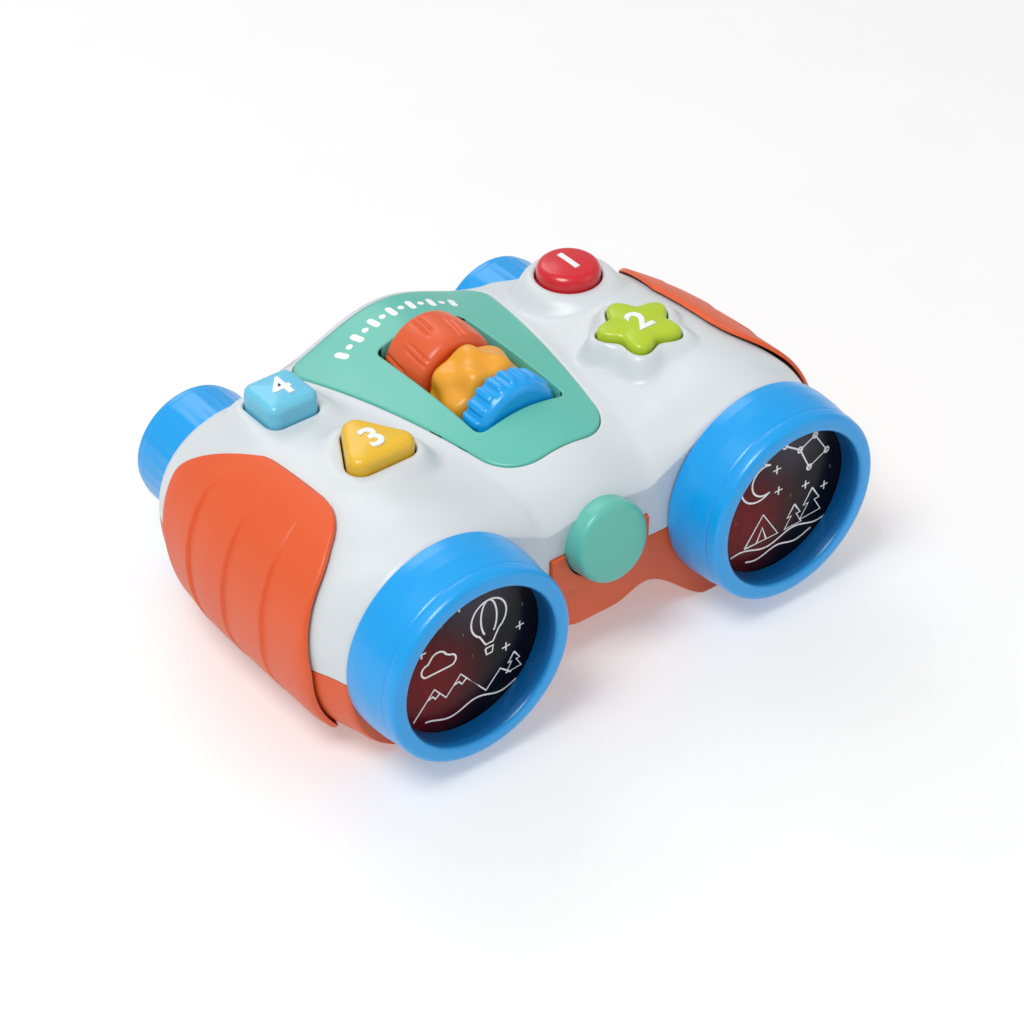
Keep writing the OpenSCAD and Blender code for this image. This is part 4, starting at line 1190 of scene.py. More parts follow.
@dataclass
class Shells:
    """The two moulded shells: white upper half and orange lower half."""

    form: BodyForm
    wall: float = 1.8
    step: float = 1.7
    ring_share: float = 0.6
    edge: float = 0.7
    fit: float = 0.25
    button_gap: float = 0.5
    well_depth: float = 1.6
    sleeve_r: float = 15.5
    bore_len: float = 30.0
    collar_w: float = 17.8
    collar_z: float = 41.2
    collar_proud: float = 1.2
    collar_back: float = 2.0
    collar_drop: float = 4.4
    collar_edge: float = 0.35
    notch_drop: float = 4.0
    notch_corner: float = 0.3
    seat_in: float = 1.0
    rim_bead: float = 0.5
    bead_in: float = 12.0
    bead_fade: float = 10.0
    bead_start: float = 0.2
    bead_run: float = 0.7
    end_rows: tuple[float, ...] = (0.0, 0.2, 0.45, 0.8, 1.3, 2.0, 3.0)
    well_rings: tuple[float, ...] = (0.0, 0.12, 0.35, 0.7, 1.3, 2.2)
    star_rings: tuple[float, ...] = (3.0, 3.8, 4.6, 5.4, 6.2, 7.0)
    star_clear: float = 0.8
    hole_rings: tuple[float, ...] = (0.0, 0.5)
    wall_rows: tuple[float, ...] = (0.3, 0.8, 2.0)
    wall_inset: float = 0.995
    wall_clear: float = 3.0
    screw_spots: tuple[Flat, ...] = ((34.0, -29.0), (34.0, 38.0), (73.0, 2.0))
    screw_r: float = 3.5
    door_l: float = 26.05
    door_w: float = 18.15
    slot_y: tuple[float, float] = (-38.4, -33.6)
    slot_w: float = 5.4
    opening_corner: float = 0.5
    speaker_y: float = 38.0
    speaker_ring: float = 5.25
    speaker_hole: float = 1.4
    speaker_count: int = 6

    @cached_property
    def button_wells(self) -> list[Well]:
        """Outlines of the four wells, with the gap round the buttons."""
        return [button.outline(self.button_gap) for button in BUTTONS]

    def seats(self, x: float, y: float, z: float) -> float:
        """Height of the skin with the level seat round each button and the bead along the rear rim.

        Args:
            x: Place across the body.
            y: Place along the body.
            z: Height of the plain skin.

        Returns:
            The height in millimetres.
        """
        form = self.form
        for well, button in zip(self.button_wells, BUTTONS):
            share = 1 - smooth((well.distance(x, y) - self.seat_in) / button.seat_run)
            if share > 0:
                z = lerp(z, form.top(button.x, button.y) + button.seat_rise, share)
        across = 1 - smooth((abs(x) - form.panel_back_w + self.bead_in) / self.bead_fade)
        return z + self.rim_bead * across * smooth((y - form.panel_back + self.bead_start) / self.bead_run)

    def upper_place(self, wells: Sequence[Well]) -> Place:
        """Surface of the upper shell with rounded edges at its wells.

        Args:
            wells: Outlines of the openings.

        Returns:
            Function from the unrolled layout to the surface.
        """
        def place(u: float, y: float) -> Point:
            """Point of the skin with its seats and rounded wells."""
            x, _, z = self.form.upper(u, y)
            z = self.seats(x, y, z)
            for well in wells:
                d = well.distance(x, y)
                if d < self.edge:
                    z -= self.edge * quarter((self.edge - d) / self.edge * RIM_TURN)
            return (x, y, z)
        return place

    def layout(self, wells: Sequence[Well], rings: Sequence[float], skin: Place,
               power: float = 1.0) -> tuple[list[list[Flat]], list[Flat], list[float]]:
        """Loops and points of a skin with openings.

        Args:
            wells: Outlines of the openings in plan.
            rings: Distances outside each outline that get a loop of points.
            skin: Surface of the skin over its unrolled layout.
            power: Fullness of the skin's section, 1 for a true ellipse.

        Returns:
            The loops, the points and the places across the skin.
        """
        form = self.form
        half = form.barrel_x + form.side_run
        across = graded(-half, half, self.step, [0.0, self.step])
        along = graded(-form.front, form.back, self.step, self.end_rows)
        border = ([(u, along[0]) for u in across] + [(half, y) for y in along[1:-1]]
                  + [(u, along[-1]) for u in reversed(across)] + [(-half, y) for y in along[-2:0:-1]])
        loops = [border] + [self.ring(well, ring, power) for well in wells for ring in rings]
        reach = rings[-1] + self.step * 0.5
        dots = [(u, y) for u in across[1:-1] for y in along[1:-1]
                if all(well.distance(skin(u, y)[0], y) > reach for well in wells)]
        return loops, dots, across

    def ring(self, well: Well, grow: float, power: float = 1.0) -> list[Flat]:
        """Loop round an opening in the unrolled layout."""
        spots = well.loop(grow, self.step * self.ring_share)
        return [(self.form.unrolled(x, y, power), y) for x, y in spots]

    def bore_disc(self, piece: Piece) -> None:
        """Cut the tilted round hole of the front button."""
        deselect()
        bpy.ops.mesh.primitive_cylinder_add(
            vertices=96, radius=(AXES.disc_r + self.button_gap) * MM, depth=self.bore_len * MM,
            location=MM * Vector((0, AXES.disc_y, AXES.disc_z)),
            rotation=(math.radians(90 - AXES.disc_tilt), 0, 0))
        cutter = bpy.context.object
        modify(piece, "BOOLEAN", operation="DIFFERENCE", solver="EXACT", object=cutter)
        bpy.data.objects.remove(cutter)

    def end_wall(self, name: str, y: float, across: Sequence[float], place: Place,
                 holes: Sequence[Outline], flip: bool) -> Piece:
        """Flat wall between the skin's end row and the parting line.

        Args:
            name: Name of the piece.
            y: Place of the wall.
            across: Places of the end row across the skin.
            place: Surface of the skin.
            holes: Outlines cut out of the wall, in X and Z.
            flip: Whether the outer side faces the rear.

        Returns:
            The new object.
        """
        row = [(place(u, y)[0], place(u, y)[2]) for u in across]
        loops = [row] + [hole.loop(0, self.step) for hole in holes]
        middle = self.form.part_z

        def inside(x: float, z: float) -> bool:
            """Whether a spot lies within the end row and outside every hole."""
            hit = False
            for (x0, z0), (x1, z1) in zip(row, row[1:] + row[:1]):
                if (z0 > z) != (z1 > z) and x < x0 + (z - z0) / (z1 - z0) * (x1 - x0):
                    hit = not hit
            return hit and all(h.distance(x, z) > 0 for h in holes)

        dots = [(x * self.wall_inset, z + math.copysign(drop, middle - z))
                for x, z in row for drop in self.wall_rows if abs(z - middle) > self.wall_clear]
        dots = [d for d in dots
                if inside(*d) and all(h.distance(*d) > self.wall_rows[0] for h in holes)]
        return cut_sheet(name, loops, dots, inside, lambda x, z: (x, y, z), flip)

    def end_walls(self, word: str, across: Sequence[float], place: Place,
                  front_holes: Sequence[Outline] = ()) -> list[Piece]:
        """Front and rear wall of one shell, with the holes of the objectives and the eyepieces.

        Args:
            word: Name of the shell.
            across: Places of the end rows across the skin.
            place: Surface of the skin.
            front_holes: Further outlines cut out of the front wall.

        Returns:
            The two new objects.
        """
        form = self.form
        objectives = [*self.barrel_holes(AXES.objective_z, AXES.spigot_r + self.fit), *front_holes]
        eyepieces = self.barrel_holes(AXES.eyecup_z, self.sleeve_r + self.fit)
        return [self.end_wall(f"{word}_front", -form.front, across, place, objectives, False),
                self.end_wall(f"{word}_rear", form.back, across, place, eyepieces, True)]

    def barrel_holes(self, z: float, radius: float) -> list[Outline]:
        """Round holes on both barrel axes at a height."""
        return [Outline(((s.value * self.form.barrel_x, z),), radius) for s in Side]

    def walled(self, name: str, sheets: Sequence[Piece],
               wells: Sequence[Well], depth: float) -> Piece:
        """Join a skin with its end walls, draw its openings into walls and give it thickness.

        Args:
            name: Name of the piece.
            sheets: Skin and end walls.
            wells: Outlines of the openings.
            depth: Depth of the openings' walls, negative upwards.

        Returns:
            The shell with the front button's hole.
        """
        shell = joined(sheets, name)
        weld(shell, outward=False)
        with editing(shell):
            if choose_edges(shell, lambda edge: any(on_outline(edge, well) for well in wells)):
                bpy.ops.mesh.extrude_edges_move(
                    TRANSFORM_OT_translate={"value": (0, 0, -depth * MM)})
        modify(shell, "SOLIDIFY", thickness=self.wall * MM, offset=-1.0)
        self.bore_disc(shell)
        return shell

    def build_upper(self) -> Piece:
        """Upper shell: skin with wells, brow and rear rim.

        Returns:
            The finished piece.
        """
        form = self.form
        wells = [*self.button_wells, form.panel(self.fit)]
        place = self.upper_place(wells)
        loops, dots, across = self.layout(wells, self.well_rings, form.upper)
        star = self.button_wells[1]
        loops += [self.ring(star, grow) for grow in self.star_rings]
        clear = self.star_rings[-1] + self.star_clear
        dots = [d for d in dots if star.distance(form.upper(*d)[0], d[1]) > clear]

        def keep(u: float, y: float) -> bool:
            """Whether a spot lies outside every well."""
            x = form.upper(u, y)[0]
            return all(well.distance(x, y) > 0 for well in wells)

        skin = cut_sheet("upper_skin", loops, dots, keep, place)
        half = self.collar_w + form.part_gap
        notch = tapered(form.part_z - self.notch_drop, self.collar_z + form.part_gap, half, half,
                        self.notch_corner)
        sheets = [skin, *self.end_walls("upper", across, place, [notch])]
        shell = self.walled("upper_shell_moulding", sheets, wells, self.well_depth)
        soften(shell, 40)
        return shell

    def underside(self) -> list[Outline]:
        """Openings under the body: screw wells, battery door, speaker holes and the switch slot.

        Returns:
            The outlines in plan.
        """
        corner = self.opening_corner
        wells = [Outline(((s.value * x, y),), self.screw_r) for x, y in self.screw_spots for s in Side]
        wells.append(tapered(-self.door_l, self.door_l, self.door_w, self.door_w, corner))
        turns = [math.tau * i / self.speaker_count for i in range(self.speaker_count)]
        spots = [polar(0.0, self.speaker_y, self.speaker_ring, a) for a in turns]
        wells += [Outline((spot,), self.speaker_hole) for spot in (*spots, (0.0, self.speaker_y))]
        wells.append(tapered(*self.slot_y, self.slot_w, self.slot_w, corner))
        return wells

    def build_lower(self) -> Piece:
        """Lower shell: barrel bottoms, arch and the collar of the front button.

        Returns:
            The finished piece.
        """
        form = self.form
        wells = self.underside()
        loops, dots, across = self.layout(wells, self.hole_rings, form.lower, form.belly_n / 2)

        def keep(u: float, y: float) -> bool:
            """Whether a spot lies outside every opening."""
            x = form.lower(u, y)[0]
            return all(well.distance(x, y) > 0 for well in wells)

        skin = cut_sheet("lower_skin", loops, dots, keep, form.lower, flip=True)
        sheets = [skin, *self.end_walls("lower", across, form.lower)]
        shell = self.walled("lower_shell_moulding", sheets, wells, -self.well_depth)
        whole = joined([shell, self.build_collar()], "lower_shell_moulding")
        soften(whole, 40)
        return whole

    def build_collar(self) -> Piece:
        """Collar round the lower half of the front button, which stands a little proud.

        Returns:
            The new object.
        """
        form = self.form
        low, high = form.part_z - self.collar_drop, self.collar_z
        deep = self.collar_proud + self.collar_back
        middle = (0, -form.front - self.collar_proud + deep / 2, (low + high) / 2)
        deselect()
        bpy.ops.mesh.primitive_cube_add(size=MM, location=MM * Vector(middle))
        plate = bpy.context.object
        plate.scale = (2 * self.collar_w, deep, high - low)
        bpy.ops.object.transform_apply(location=True, rotation=True, scale=True)
        self.bore_disc(plate)
        modify(plate, "BEVEL", width=self.collar_edge * MM, segments=3, limit_method="ANGLE",
               angle_limit=math.radians(50))
        return plate

    def dress(self, finishes: Finishes) -> None:
        """Build both shells and give them their finish."""
        settle(self.build_upper(), finishes[Stock.WHITE], "housing", "white_shell", "upper_shell")
        settle(self.build_lower(), finishes[Stock.ORANGE], "housing", "orange_shell", "lower_shell")


@dataclass
class Grips:
    """Side grips: thin orange mouldings with three S-shaped step creases."""

    form: BodyForm
    seat: float = 0.5
    thickness: float = 1.6
    skin: float = 0.4
    step: float = 0.95
    front: float = 42.2
    back: float = 39.0
    low: float = -52.0
    high: float = 70.0
    mid: float = 36.0
    turn: float = 55.0
    lean: float = 7.7
    corner: float = 17.0
    fade: float = 30.0
    foot: float = 11.0
    foot_a: float = 16.0
    sweep: float = 31.0
    tuck: float = 15.0
    tuck_n: float = 1.3
    bow: float = 2.5
    creases: tuple[float, ...] = (0.27, 0.52, 0.77)
    crease_w: float = 0.009
    lead: float = 0.5
    plain_low: float = 6.0
    plain_high: float = 8.0
    rim_a: float = 1.6
    rim_u: float = 0.02
    rim_share: float = 0.75
    across: int = 240
    along: int = 90

    def foot_y(self, a: float) -> float:
        """How far both edges draw in near the lower end."""
        return self.foot * quarter((self.low + self.foot_a - a) / self.foot_a)

    def front_y(self, a: float) -> float:
        """Front edge at an angle round the barrel."""
        return (-self.front + self.lean * clamp(a / self.turn)
                + self.corner * quarter((a - self.high + self.fade) / self.fade) + self.foot_y(a))

    def back_y(self, a: float) -> float:
        """Rear edge at an angle round the barrel.

        Args:
            a: Angle in degrees.

        Returns:
            The place along the body.
        """
        if a > self.mid:
            draw = self.sweep * ((a - self.mid) / (self.high - self.mid)) ** 2
        else:
            draw = self.tuck * ((self.mid - a) / (self.mid - self.low)) ** self.tuck_n
        return self.back - self.foot_y(a) - draw

    def point(self, a: float, u: float, lift: float, side: Side) -> Point:
        """Point of the grip over the barrel.

        Args:
            a: Angle round the barrel in degrees.
            u: Share from the front edge to the rear edge.
            lift: Height over the shell's skin.
            side: Barrel that it lies on.

        Returns:
            The point in millimetres.
        """
        form = self.form
        y = (lerp(self.front_y(a), self.back_y(a), u) + self.bow * math.sin(math.pi * u)
             * math.sin(math.tau * (a - self.low) / (self.high - self.low)))
        turn = math.radians(a)
        if a >= 0:
            z = form.part_z + (form.crest(y) + lift - form.part_z) * math.sin(turn)
            x = form.barrel_x + (form.side(y) + lift) * math.cos(turn)
        else:
            share = 2 / form.belly_n
            z = form.part_z - (form.part_z - form.floor(y) + lift) * math.sin(-turn) ** share
            x = form.barrel_x + (form.side(y) + lift) * math.cos(turn) ** share
        z += form.boss(side.value * x, y) * math.sin(max(turn, 0.0))
        return (side.value * x, y, z)

    def rise(self, a: float, u: float) -> float:
        """Thickness of the grip with its creases, which fade towards both ends.

        Args:
            a: Angle round the barrel in degrees.
            u: Share from the front edge to the rear edge.

        Returns:
            The thickness in millimetres.
        """
        saw = self.lead * (1 - u / self.creases[0])
        for start, end in zip(self.creases, (*self.creases[1:], 1.0)):
            if u >= start - self.crease_w:
                saw = smooth((u - start) / self.crease_w + 1) * (1 - clamp((u - start) / (end - start)))
        fade = (smooth((a - self.low - self.plain_low) / self.turn)
                * smooth((self.high - a - self.plain_high) / self.mid))
        return self.thickness + self.step * saw * fade

    def build(self, side: Side) -> Piece:
        """One grip with its rounded rim.

        Args:
            side: Barrel that it lies on.

        Returns:
            The finished piece.
        """
        def place(u: float, v: float) -> Point:
            """Point of the outer face, which turns down along the rim."""
            across = u if side is Side.RIGHT else 1 - u
            a = lerp(self.low, self.high, v)
            inset = min(clamp(across / self.rim_u), clamp((1 - across) / self.rim_u),
                        clamp((a - self.low) / self.rim_a), clamp((self.high - a) / self.rim_a))
            drop = self.thickness * self.rim_share * quarter(1 - inset)
            return self.point(a, across, self.seat + self.rise(a, across) - drop, side)

        piece = shaped_grid(f"{side.word}_side_grip", self.across, self.along, place)
        modify(piece, "SOLIDIFY", thickness=self.skin * MM, offset=-1.0)
        soften(piece, 50)
        return piece

    def dress(self, finishes: Finishes) -> None:
        """Build both grips and give them their finish."""
        for side in Side:
            settle(self.build(side), finishes[Stock.ORANGE], "housing", "orange_shell", f"{side.word}_grip")


@dataclass
class CentrePanel:
    """Teal panel set into the bridge, with the wheel window and a printed scale."""

    form: BodyForm
    proud: float = 0.2
    edge: float = 0.6
    wall: float = 1.0
    depth: float = 1.6
    skirt: float = 4.2
    window_w: float = 15.8
    window_front: float = 17.3
    window_back: float = 33.5
    window_corner: float = 2.5
    step: float = 1.7
    rings: tuple[float, ...] = (0.0, 0.12, 0.35, 0.7, 1.4)
    grid_w: float = 38.0
    grid_y: tuple[float, float] = (-36.0, 53.0)
    marks: int = 6
    mark_pitch: float = 3.5
    mark_shift: float = -1.5
    mark_r: float = 1.05
    mark_long: float = 2.6
    arc_y: float = 44.6
    arc_bend: float = 0.007
    ink_lift: float = 0.04
    ink_t: float = 0.12

    def window(self) -> Outline:
        """Outline of the wheel window."""
        return tapered(-self.window_front, self.window_back, self.window_w, self.window_w,
                       self.window_corner)

    def build(self) -> Piece:
        """Panel with rounded edges, drawn down round its rim and its window.

        Returns:
            The finished piece.
        """
        form, rim, window = self.form, self.form.panel(), self.window()

        def place(x: float, y: float) -> Point:
            """Point of the panel's face, which turns down along both edges."""
            d = min(-rim.distance(x, y), window.distance(x, y))
            drop = self.edge * quarter(clamp((self.edge - d) / self.edge) * RIM_TURN)
            return (x, y, form.top(x, y) + self.proud - drop)

        def keep(x: float, y: float) -> bool:
            """Whether a spot lies between the window and the rim."""
            return rim.distance(x, y) < 0 < window.distance(x, y)

        loops = ([rim.loop(-r, self.step) for r in self.rings]
                 + [window.loop(r, self.step) for r in self.rings])
        across = graded(-self.grid_w, self.grid_w, self.step, [0.0])
        along = graded(*self.grid_y, self.step, [0.0])
        reach = self.rings[-1] + self.step / 2
        dots = [(x, y) for x in across for y in along
                if rim.distance(x, y) < -reach and window.distance(x, y) > reach]
        piece = cut_sheet("centre_panel_moulding", loops, dots, keep, place)
        for outline, depth in ((rim, self.depth), (window, self.skirt)):
            with editing(piece):
                choose_edges(piece, lambda edge: on_outline(edge, outline))
                bpy.ops.mesh.extrude_edges_move(TRANSFORM_OT_translate={"value": (0, 0, -depth * MM)})
        modify(piece, "SOLIDIFY", thickness=self.wall * MM, offset=-1.0)
        soften(piece, 40)
        return piece

    def build_scale(self) -> Piece:
        """Printed arc of dots and strokes behind the window.

        Returns:
            The finished piece.
        """
        patches = []
        for i in range(-self.marks, self.marks + 1):
            x = i * self.mark_pitch + self.mark_shift
            y, slope = self.arc_y - self.arc_bend * x * x, math.atan(-2 * self.arc_bend * x)
            half = self.mark_long if i % 2 == 0 else self.mark_r
            patches.append(self.print_patch(f"mark_{i + self.marks}", self.stroke(x, y, slope, half)))
        return joined(patches, "panel_printed_scale")

    def stroke(self, x: float, y: float, slope: float, half: float) -> list[Flat]:
        """Outline of a round-ended stroke across the arc.

        Args:
            x: Middle of the stroke.
            y: Middle of the stroke.
            slope: Slope of the arc there, in radians.
            half: Half its length.

        Returns:
            The points round the stroke.
        """
        points: list[Flat] = []
        for end, first in ((1, 0.0), (-1, math.pi)):
            cx = x - math.sin(slope) * end * (half - self.mark_r)
            cy = y + math.cos(slope) * end * (half - self.mark_r)
            turns = [first + slope + math.pi * k / 8 for k in range(9)]
            points += [polar(cx, cy, self.mark_r, a) for a in turns]
        return points

    def print_patch(self, name: str, loop: Sequence[Flat]) -> Piece:
        """Thin patch of ink on the panel.

        Args:
            name: Name of the patch.
            loop: Outline of the patch.

        Returns:
            The new object.
        """
        def place(x: float, y: float) -> Point:
            """Point of the ink's face."""
            return (x, y, self.form.top(x, y) + self.proud + self.ink_lift)

        patch = cut_sheet(name, [list(loop)], [], lambda x, y: True, place)
        modify(patch, "SOLIDIFY", thickness=self.ink_t * MM, offset=-1.0)
        return patch

    def dress(self, finishes: Finishes) -> None:
        """Build the panel and its print and give them their finish."""
        settle(self.build(), finishes[Stock.TEAL], "housing", "teal_plastic", "centre_panel")
        settle(self.build_scale(), finishes[Stock.INK], "housing", "teal_plastic")


class Tread(Enum):
    """Pattern round a thumb wheel."""

    GROOVES = "grooves"
    BUMPS = "bumps"
    BARS = "bars"


@dataclass
class Wheel:
    """Thumb wheel on the common axle, with its pattern moulded round a crowned rim."""

    name: str
    tread: Tread
    y: float
    width: float
    radius: float = 15.0
    bore: float = 2.06
    axle_z: float = 59.6
    corner: float = 2.4
    steps: int = 288
    rim_rows: int = 16
    groove_groups: int = 12
    groove_lines: tuple[float, ...] = (0.35, 0.62)
    groove_lean: float = 0.12
    groove_w: float = 0.06
    groove_depth: float = 0.6
    groove_shift: float = 0.3
    groove_half: float = 0.62
    groove_end: float = 0.25
    groove_crown: float = 1.0
    bump_count: int = 7
    bump_twist: float = 0.9
    bump_depth: float = 2.2
    bump_crown: float = 1.3
    bar_count: int = 20
    bar_share: float = 0.6
    bar_depth: float = 0.9
    bar_stop: float = 0.6
    bar_end: float = 0.3
    bar_crown: float = 0.4

    def grooves(self, angle: float, share: float) -> float:
        """Depth of short leaning grooves in pairs, which sit by turns left and right on the rim.

        Args:
            angle: Angle round the axle in radians.
            share: Place across the rim from -1 to 1.

        Returns:
            The depth in millimetres.
        """
        turn = angle * self.groove_groups / math.tau
        side = self.groove_shift if int(turn) % 2 else -self.groove_shift
        lines = [line + self.groove_lean * share for line in self.groove_lines]
        cut = max(math.exp(-((turn % 1.0 - line) / self.groove_w) ** 2) for line in lines)
        ends = smooth((self.groove_half - abs(share - side)) / self.groove_end)
        return self.groove_crown * share ** 2 + self.groove_depth * cut * ends

    def relief(self, angle: float, share: float) -> float:
        """Depth below the wheel's full radius.

        Args:
            angle: Angle round the axle in radians.
            share: Place across the rim from -1 to 1.

        Returns:
            The depth in millimetres.
        """
        if self.tread is Tread.GROOVES:
            return self.grooves(angle, share)
        if self.tread is Tread.BUMPS:
            swing = math.cos(self.bump_count * angle) * math.sin(self.bump_twist * math.pi * share)
            return self.bump_depth * (1 - (0.5 + 0.5 * swing)) + self.bump_crown * share ** 2
        bar = smooth((math.cos(self.bar_count * angle) + self.bar_share) / (2 * self.bar_share))
        held = smooth((share + self.bar_stop) / self.bar_end)
        return self.bar_depth * (1 - bar * held) + self.bar_crown * share ** 2

    def build(self) -> Piece:
        """Wheel as a closed ring round its bore.

        Returns:
            The finished piece.
        """
        half, c = self.width / 2, self.corner
        arc = [math.radians(a) for a in range(0, 91, 15)]
        path = [(self.bore, -half), (self.radius - c, -half)]
        path += [(self.radius - c + c * math.sin(a), -half + c - c * math.cos(a)) for a in arc[1:]]
        rows = [k / self.rim_rows for k in range(1, self.rim_rows)]
        path += [(self.radius, lerp(-half + c, half - c, share)) for share in rows]
        path += [(self.radius - c + c * math.cos(a), half - c + c * math.sin(a)) for a in arc]
        path += [(self.bore, half), (self.bore, -half)]
        rim_from = self.radius - c - 0.01

        def place(u: float, v: float) -> Point:
            """Point of the wheel at shares round the axle and along the section."""
            radius, across = path[round(v * (len(path) - 1))]
            angle = math.tau * u
            if radius > rim_from:
                radius -= self.relief(angle, across / half)
            return (radius * math.sin(angle), self.y + across, self.axle_z + radius * math.cos(angle))

        piece = shaped_grid(self.name, self.steps, len(path) - 1, place)
        weld(piece)
        soften(piece, 50)
        return piece


@dataclass
class Wheels:
    """The three thumb wheels, front to rear."""

    gap: float = 0.8
    first: float = -17.3
    rows: tuple[tuple[str, Tread, float, Stock, str], ...] = (
        ("front", Tread.BARS, 11.2, Stock.BLUE, "blue_plastic"),
        ("middle", Tread.BUMPS, 17.2, Stock.AMBER, "amber_wheel"),
        ("rear", Tread.GROOVES, 19.2, Stock.CORAL, "orange_wheel"),
    )

    def dress(self, finishes: Finishes) -> None:
        """Build the wheels and give them their finish."""
        y = self.first
        for word, tread, width, stock, slot in self.rows:
            node = f"{word}_wheel"
            wheel = Wheel(f"{word}_thumb_wheel", tread, y + self.gap + width / 2, width)
            settle(wheel.build(), finishes[stock], node, slot, node)
            y += self.gap + width


@dataclass
class TopButton:
    """Push button on top: a puffed cap of its outline with a raised number."""

    plan: ButtonPlan
    count: int = 120
    outline_step: float = 0.4
    skirt_gap: float = 0.05
    crown_rows: tuple[float, ...] = (0.75, 0.5, 0.25, 0.0)
    number_size: float = 12.0
    number_swell: float = 0.2
    number_half: float = 0.2
    number_edge: float = 0.12
    number_drop: float = 0.35
    number_sink: float = 0.15

    @property
    def name(self) -> str:
        """Name of the piece."""
        return f"{self.plan.word}_push_button"

    def levels(self) -> list[Flat]:
        """Rows of the cap from its foot to the end of its rounded edge, as inset and height."""
        plan = self.plan
        shoulder = plan.top - plan.crown - plan.edge
        arc = [math.radians(a) for a in range(0, 91, 10)]
        rows = [(0.0, plan.base), (0.0, shoulder - self.skirt_gap)]
        return rows + [(plan.edge * (1 - math.cos(a)), shoulder + plan.edge * math.sin(a)) for a in arc]

    def build(self) -> Piece:
        """Cap from under the shell up to its crown.

        Returns:
            The finished piece.
        """
        plan, outline, levels = self.plan, self.plan.outline(), self.levels()
        rows = len(levels) + len(self.crown_rows)
        loops = {inset: outline.loop(-inset, self.outline_step) for inset, _ in levels}

        def at(inset: float, turn: float) -> Vector:
            """Spot on the loop at an inset, by the share of a full turn."""
            loop = loops[inset]
            mark = len(loop) * turn
            low = int(mark) % len(loop)
            return Vector(loop[low]).lerp(Vector(loop[(low + 1) % len(loop)]), mark - int(mark))

        def place(u: float, v: float) -> Point:
            """Point of the cap at shares round its outline and up its rows."""
            row = round(v * (rows - 1))
            turn = round(u * self.count) % self.count / self.count
            if row < len(levels):
                inset, z = levels[row]
                spot = at(inset, turn)
                return (spot.x, spot.y, z)
            share = self.crown_rows[row - len(levels)]
            spot = at(levels[-1][0], turn)
            return (lerp(plan.x, spot.x, share), lerp(plan.y, spot.y, share),
                    plan.top - plan.crown * share ** 2)

        piece = shaped_grid(self.name, self.count, rows - 1, place)
        with editing(piece):
            bpy.ops.mesh.remove_doubles(threshold=MERGE_AT)
            choose_edges(piece, lambda edge: edge.is_boundary)
            bpy.ops.mesh.edge_face_add()
        weld(piece)
        soften(piece, 50)
        return piece

    def build_number(self) -> Piece:
        """Raised number on the crown.

        Returns:
            The finished piece.
        """
        plan = self.plan
        deselect()
        bpy.ops.object.text_add()
        text = bpy.context.object.data
        text.body = plan.number
        text.align_x, text.align_y = "CENTER", "CENTER"
        text.size, text.offset = self.number_size * MM, self.number_swell * MM
        text.extrude, text.bevel_depth = self.number_half * MM, self.number_edge * MM
        text.bevel_resolution = 2
        bpy.ops.object.convert(target="MESH")
        piece = bpy.context.object
        piece.name = piece.data.name = f"{self.name}_number"
        foot = min(v.co.z for v in piece.data.vertices)
        heights = [v.co.y for v in piece.data.vertices]
        seat = plan.top - plan.crown * self.number_drop - self.number_sink
        lift = Vector((plan.x * MM, plan.y * MM - (max(heights) + min(heights)) / 2, seat * MM - foot))
        piece.data.transform(Matrix.Translation(lift))
        weld(piece)
        soften(piece, 40)
        return piece


@dataclass
class TopButtons:
    """The four push buttons."""

    stocks: tuple[Stock, ...] = (Stock.RED, Stock.LIME, Stock.YELLOW, Stock.SKY)

    def dress(self, finishes: Finishes) -> None:
        """Build the buttons and their numbers and give them their finish."""
        for plan, stock in zip(BUTTONS, self.stocks):
            button = TopButton(plan)
            node, slot = f"{plan.word}_button", f"{stock.name.lower()}_plastic"
            settle(button.build(), finishes[stock], node, slot, node)
            settle(button.build_number(), finishes[Stock.MARK], node, slot)


@dataclass
class FrontButton:
    """Large round push button between the barrels, on an axis tilted upwards."""

    height: float = 8.0
    edge: float = 2.6
    dome: float = 0.9
    dome_share: float = 0.6
    dome_drop: float = 0.3
    dome_round: float = 3.0
    flange: float = 1.8
    flange_z: float = -5.6
    flange_t: float = 1.35
    flange_edge: float = 0.3

    def build(self) -> Piece:
        """Button with its flange, turned and then tilted into place.

        Returns:
            The finished piece.
        """
        r, h, wide = AXES.disc_r, self.height, AXES.disc_r + self.flange
        low = self.flange_z - self.flange_t
        path = rounded([
            (0.0, low, 0), (wide, low, self.flange_edge), (wide, self.flange_z, self.flange_edge),
            (r, self.flange_z, self.flange_edge), (r, h - self.dome, self.edge),
            (r * self.dome_share, h - self.dome * self.dome_drop, self.dome_round), (0.0, h, 0)], 8)
        profile = [(radius, -along) for radius, along in path]
        piece = spun("front_push_button", profile, 0.0, 0.0, 96)
        turn = Matrix.Rotation(math.radians(-AXES.disc_tilt), 4, "X")
        piece.data.transform(Matrix.Translation(MM * Vector((0, AXES.disc_y, AXES.disc_z))) @ turn)
        soften(piece, 40)
        return piece

    def dress(self, finishes: Finishes) -> None:
        """Build the button and give it its finish."""
        settle(self.build(), finishes[Stock.TEAL], "front_button", "teal_plastic", "front_button")


def arc_line(x: float, z: float, radius: float, first: float = 0.0, last: float = 360.0) -> list[Flat]:
    """Points along an arc.

    Args:
        x: Place of the centre.
        z: Height of the centre.
        radius: Radius of the arc.
        first: Start in degrees.
        last: End in degrees; behind the start the arc runs backwards.

    Returns:
        The points from first to last.
    """
    count = max(10, math.ceil(abs(last - first) * radius / 60))
    turns = [math.radians(lerp(first, last, k / count)) for k in range(count + 1)]
    return [polar(x, z, radius, a) for a in turns]


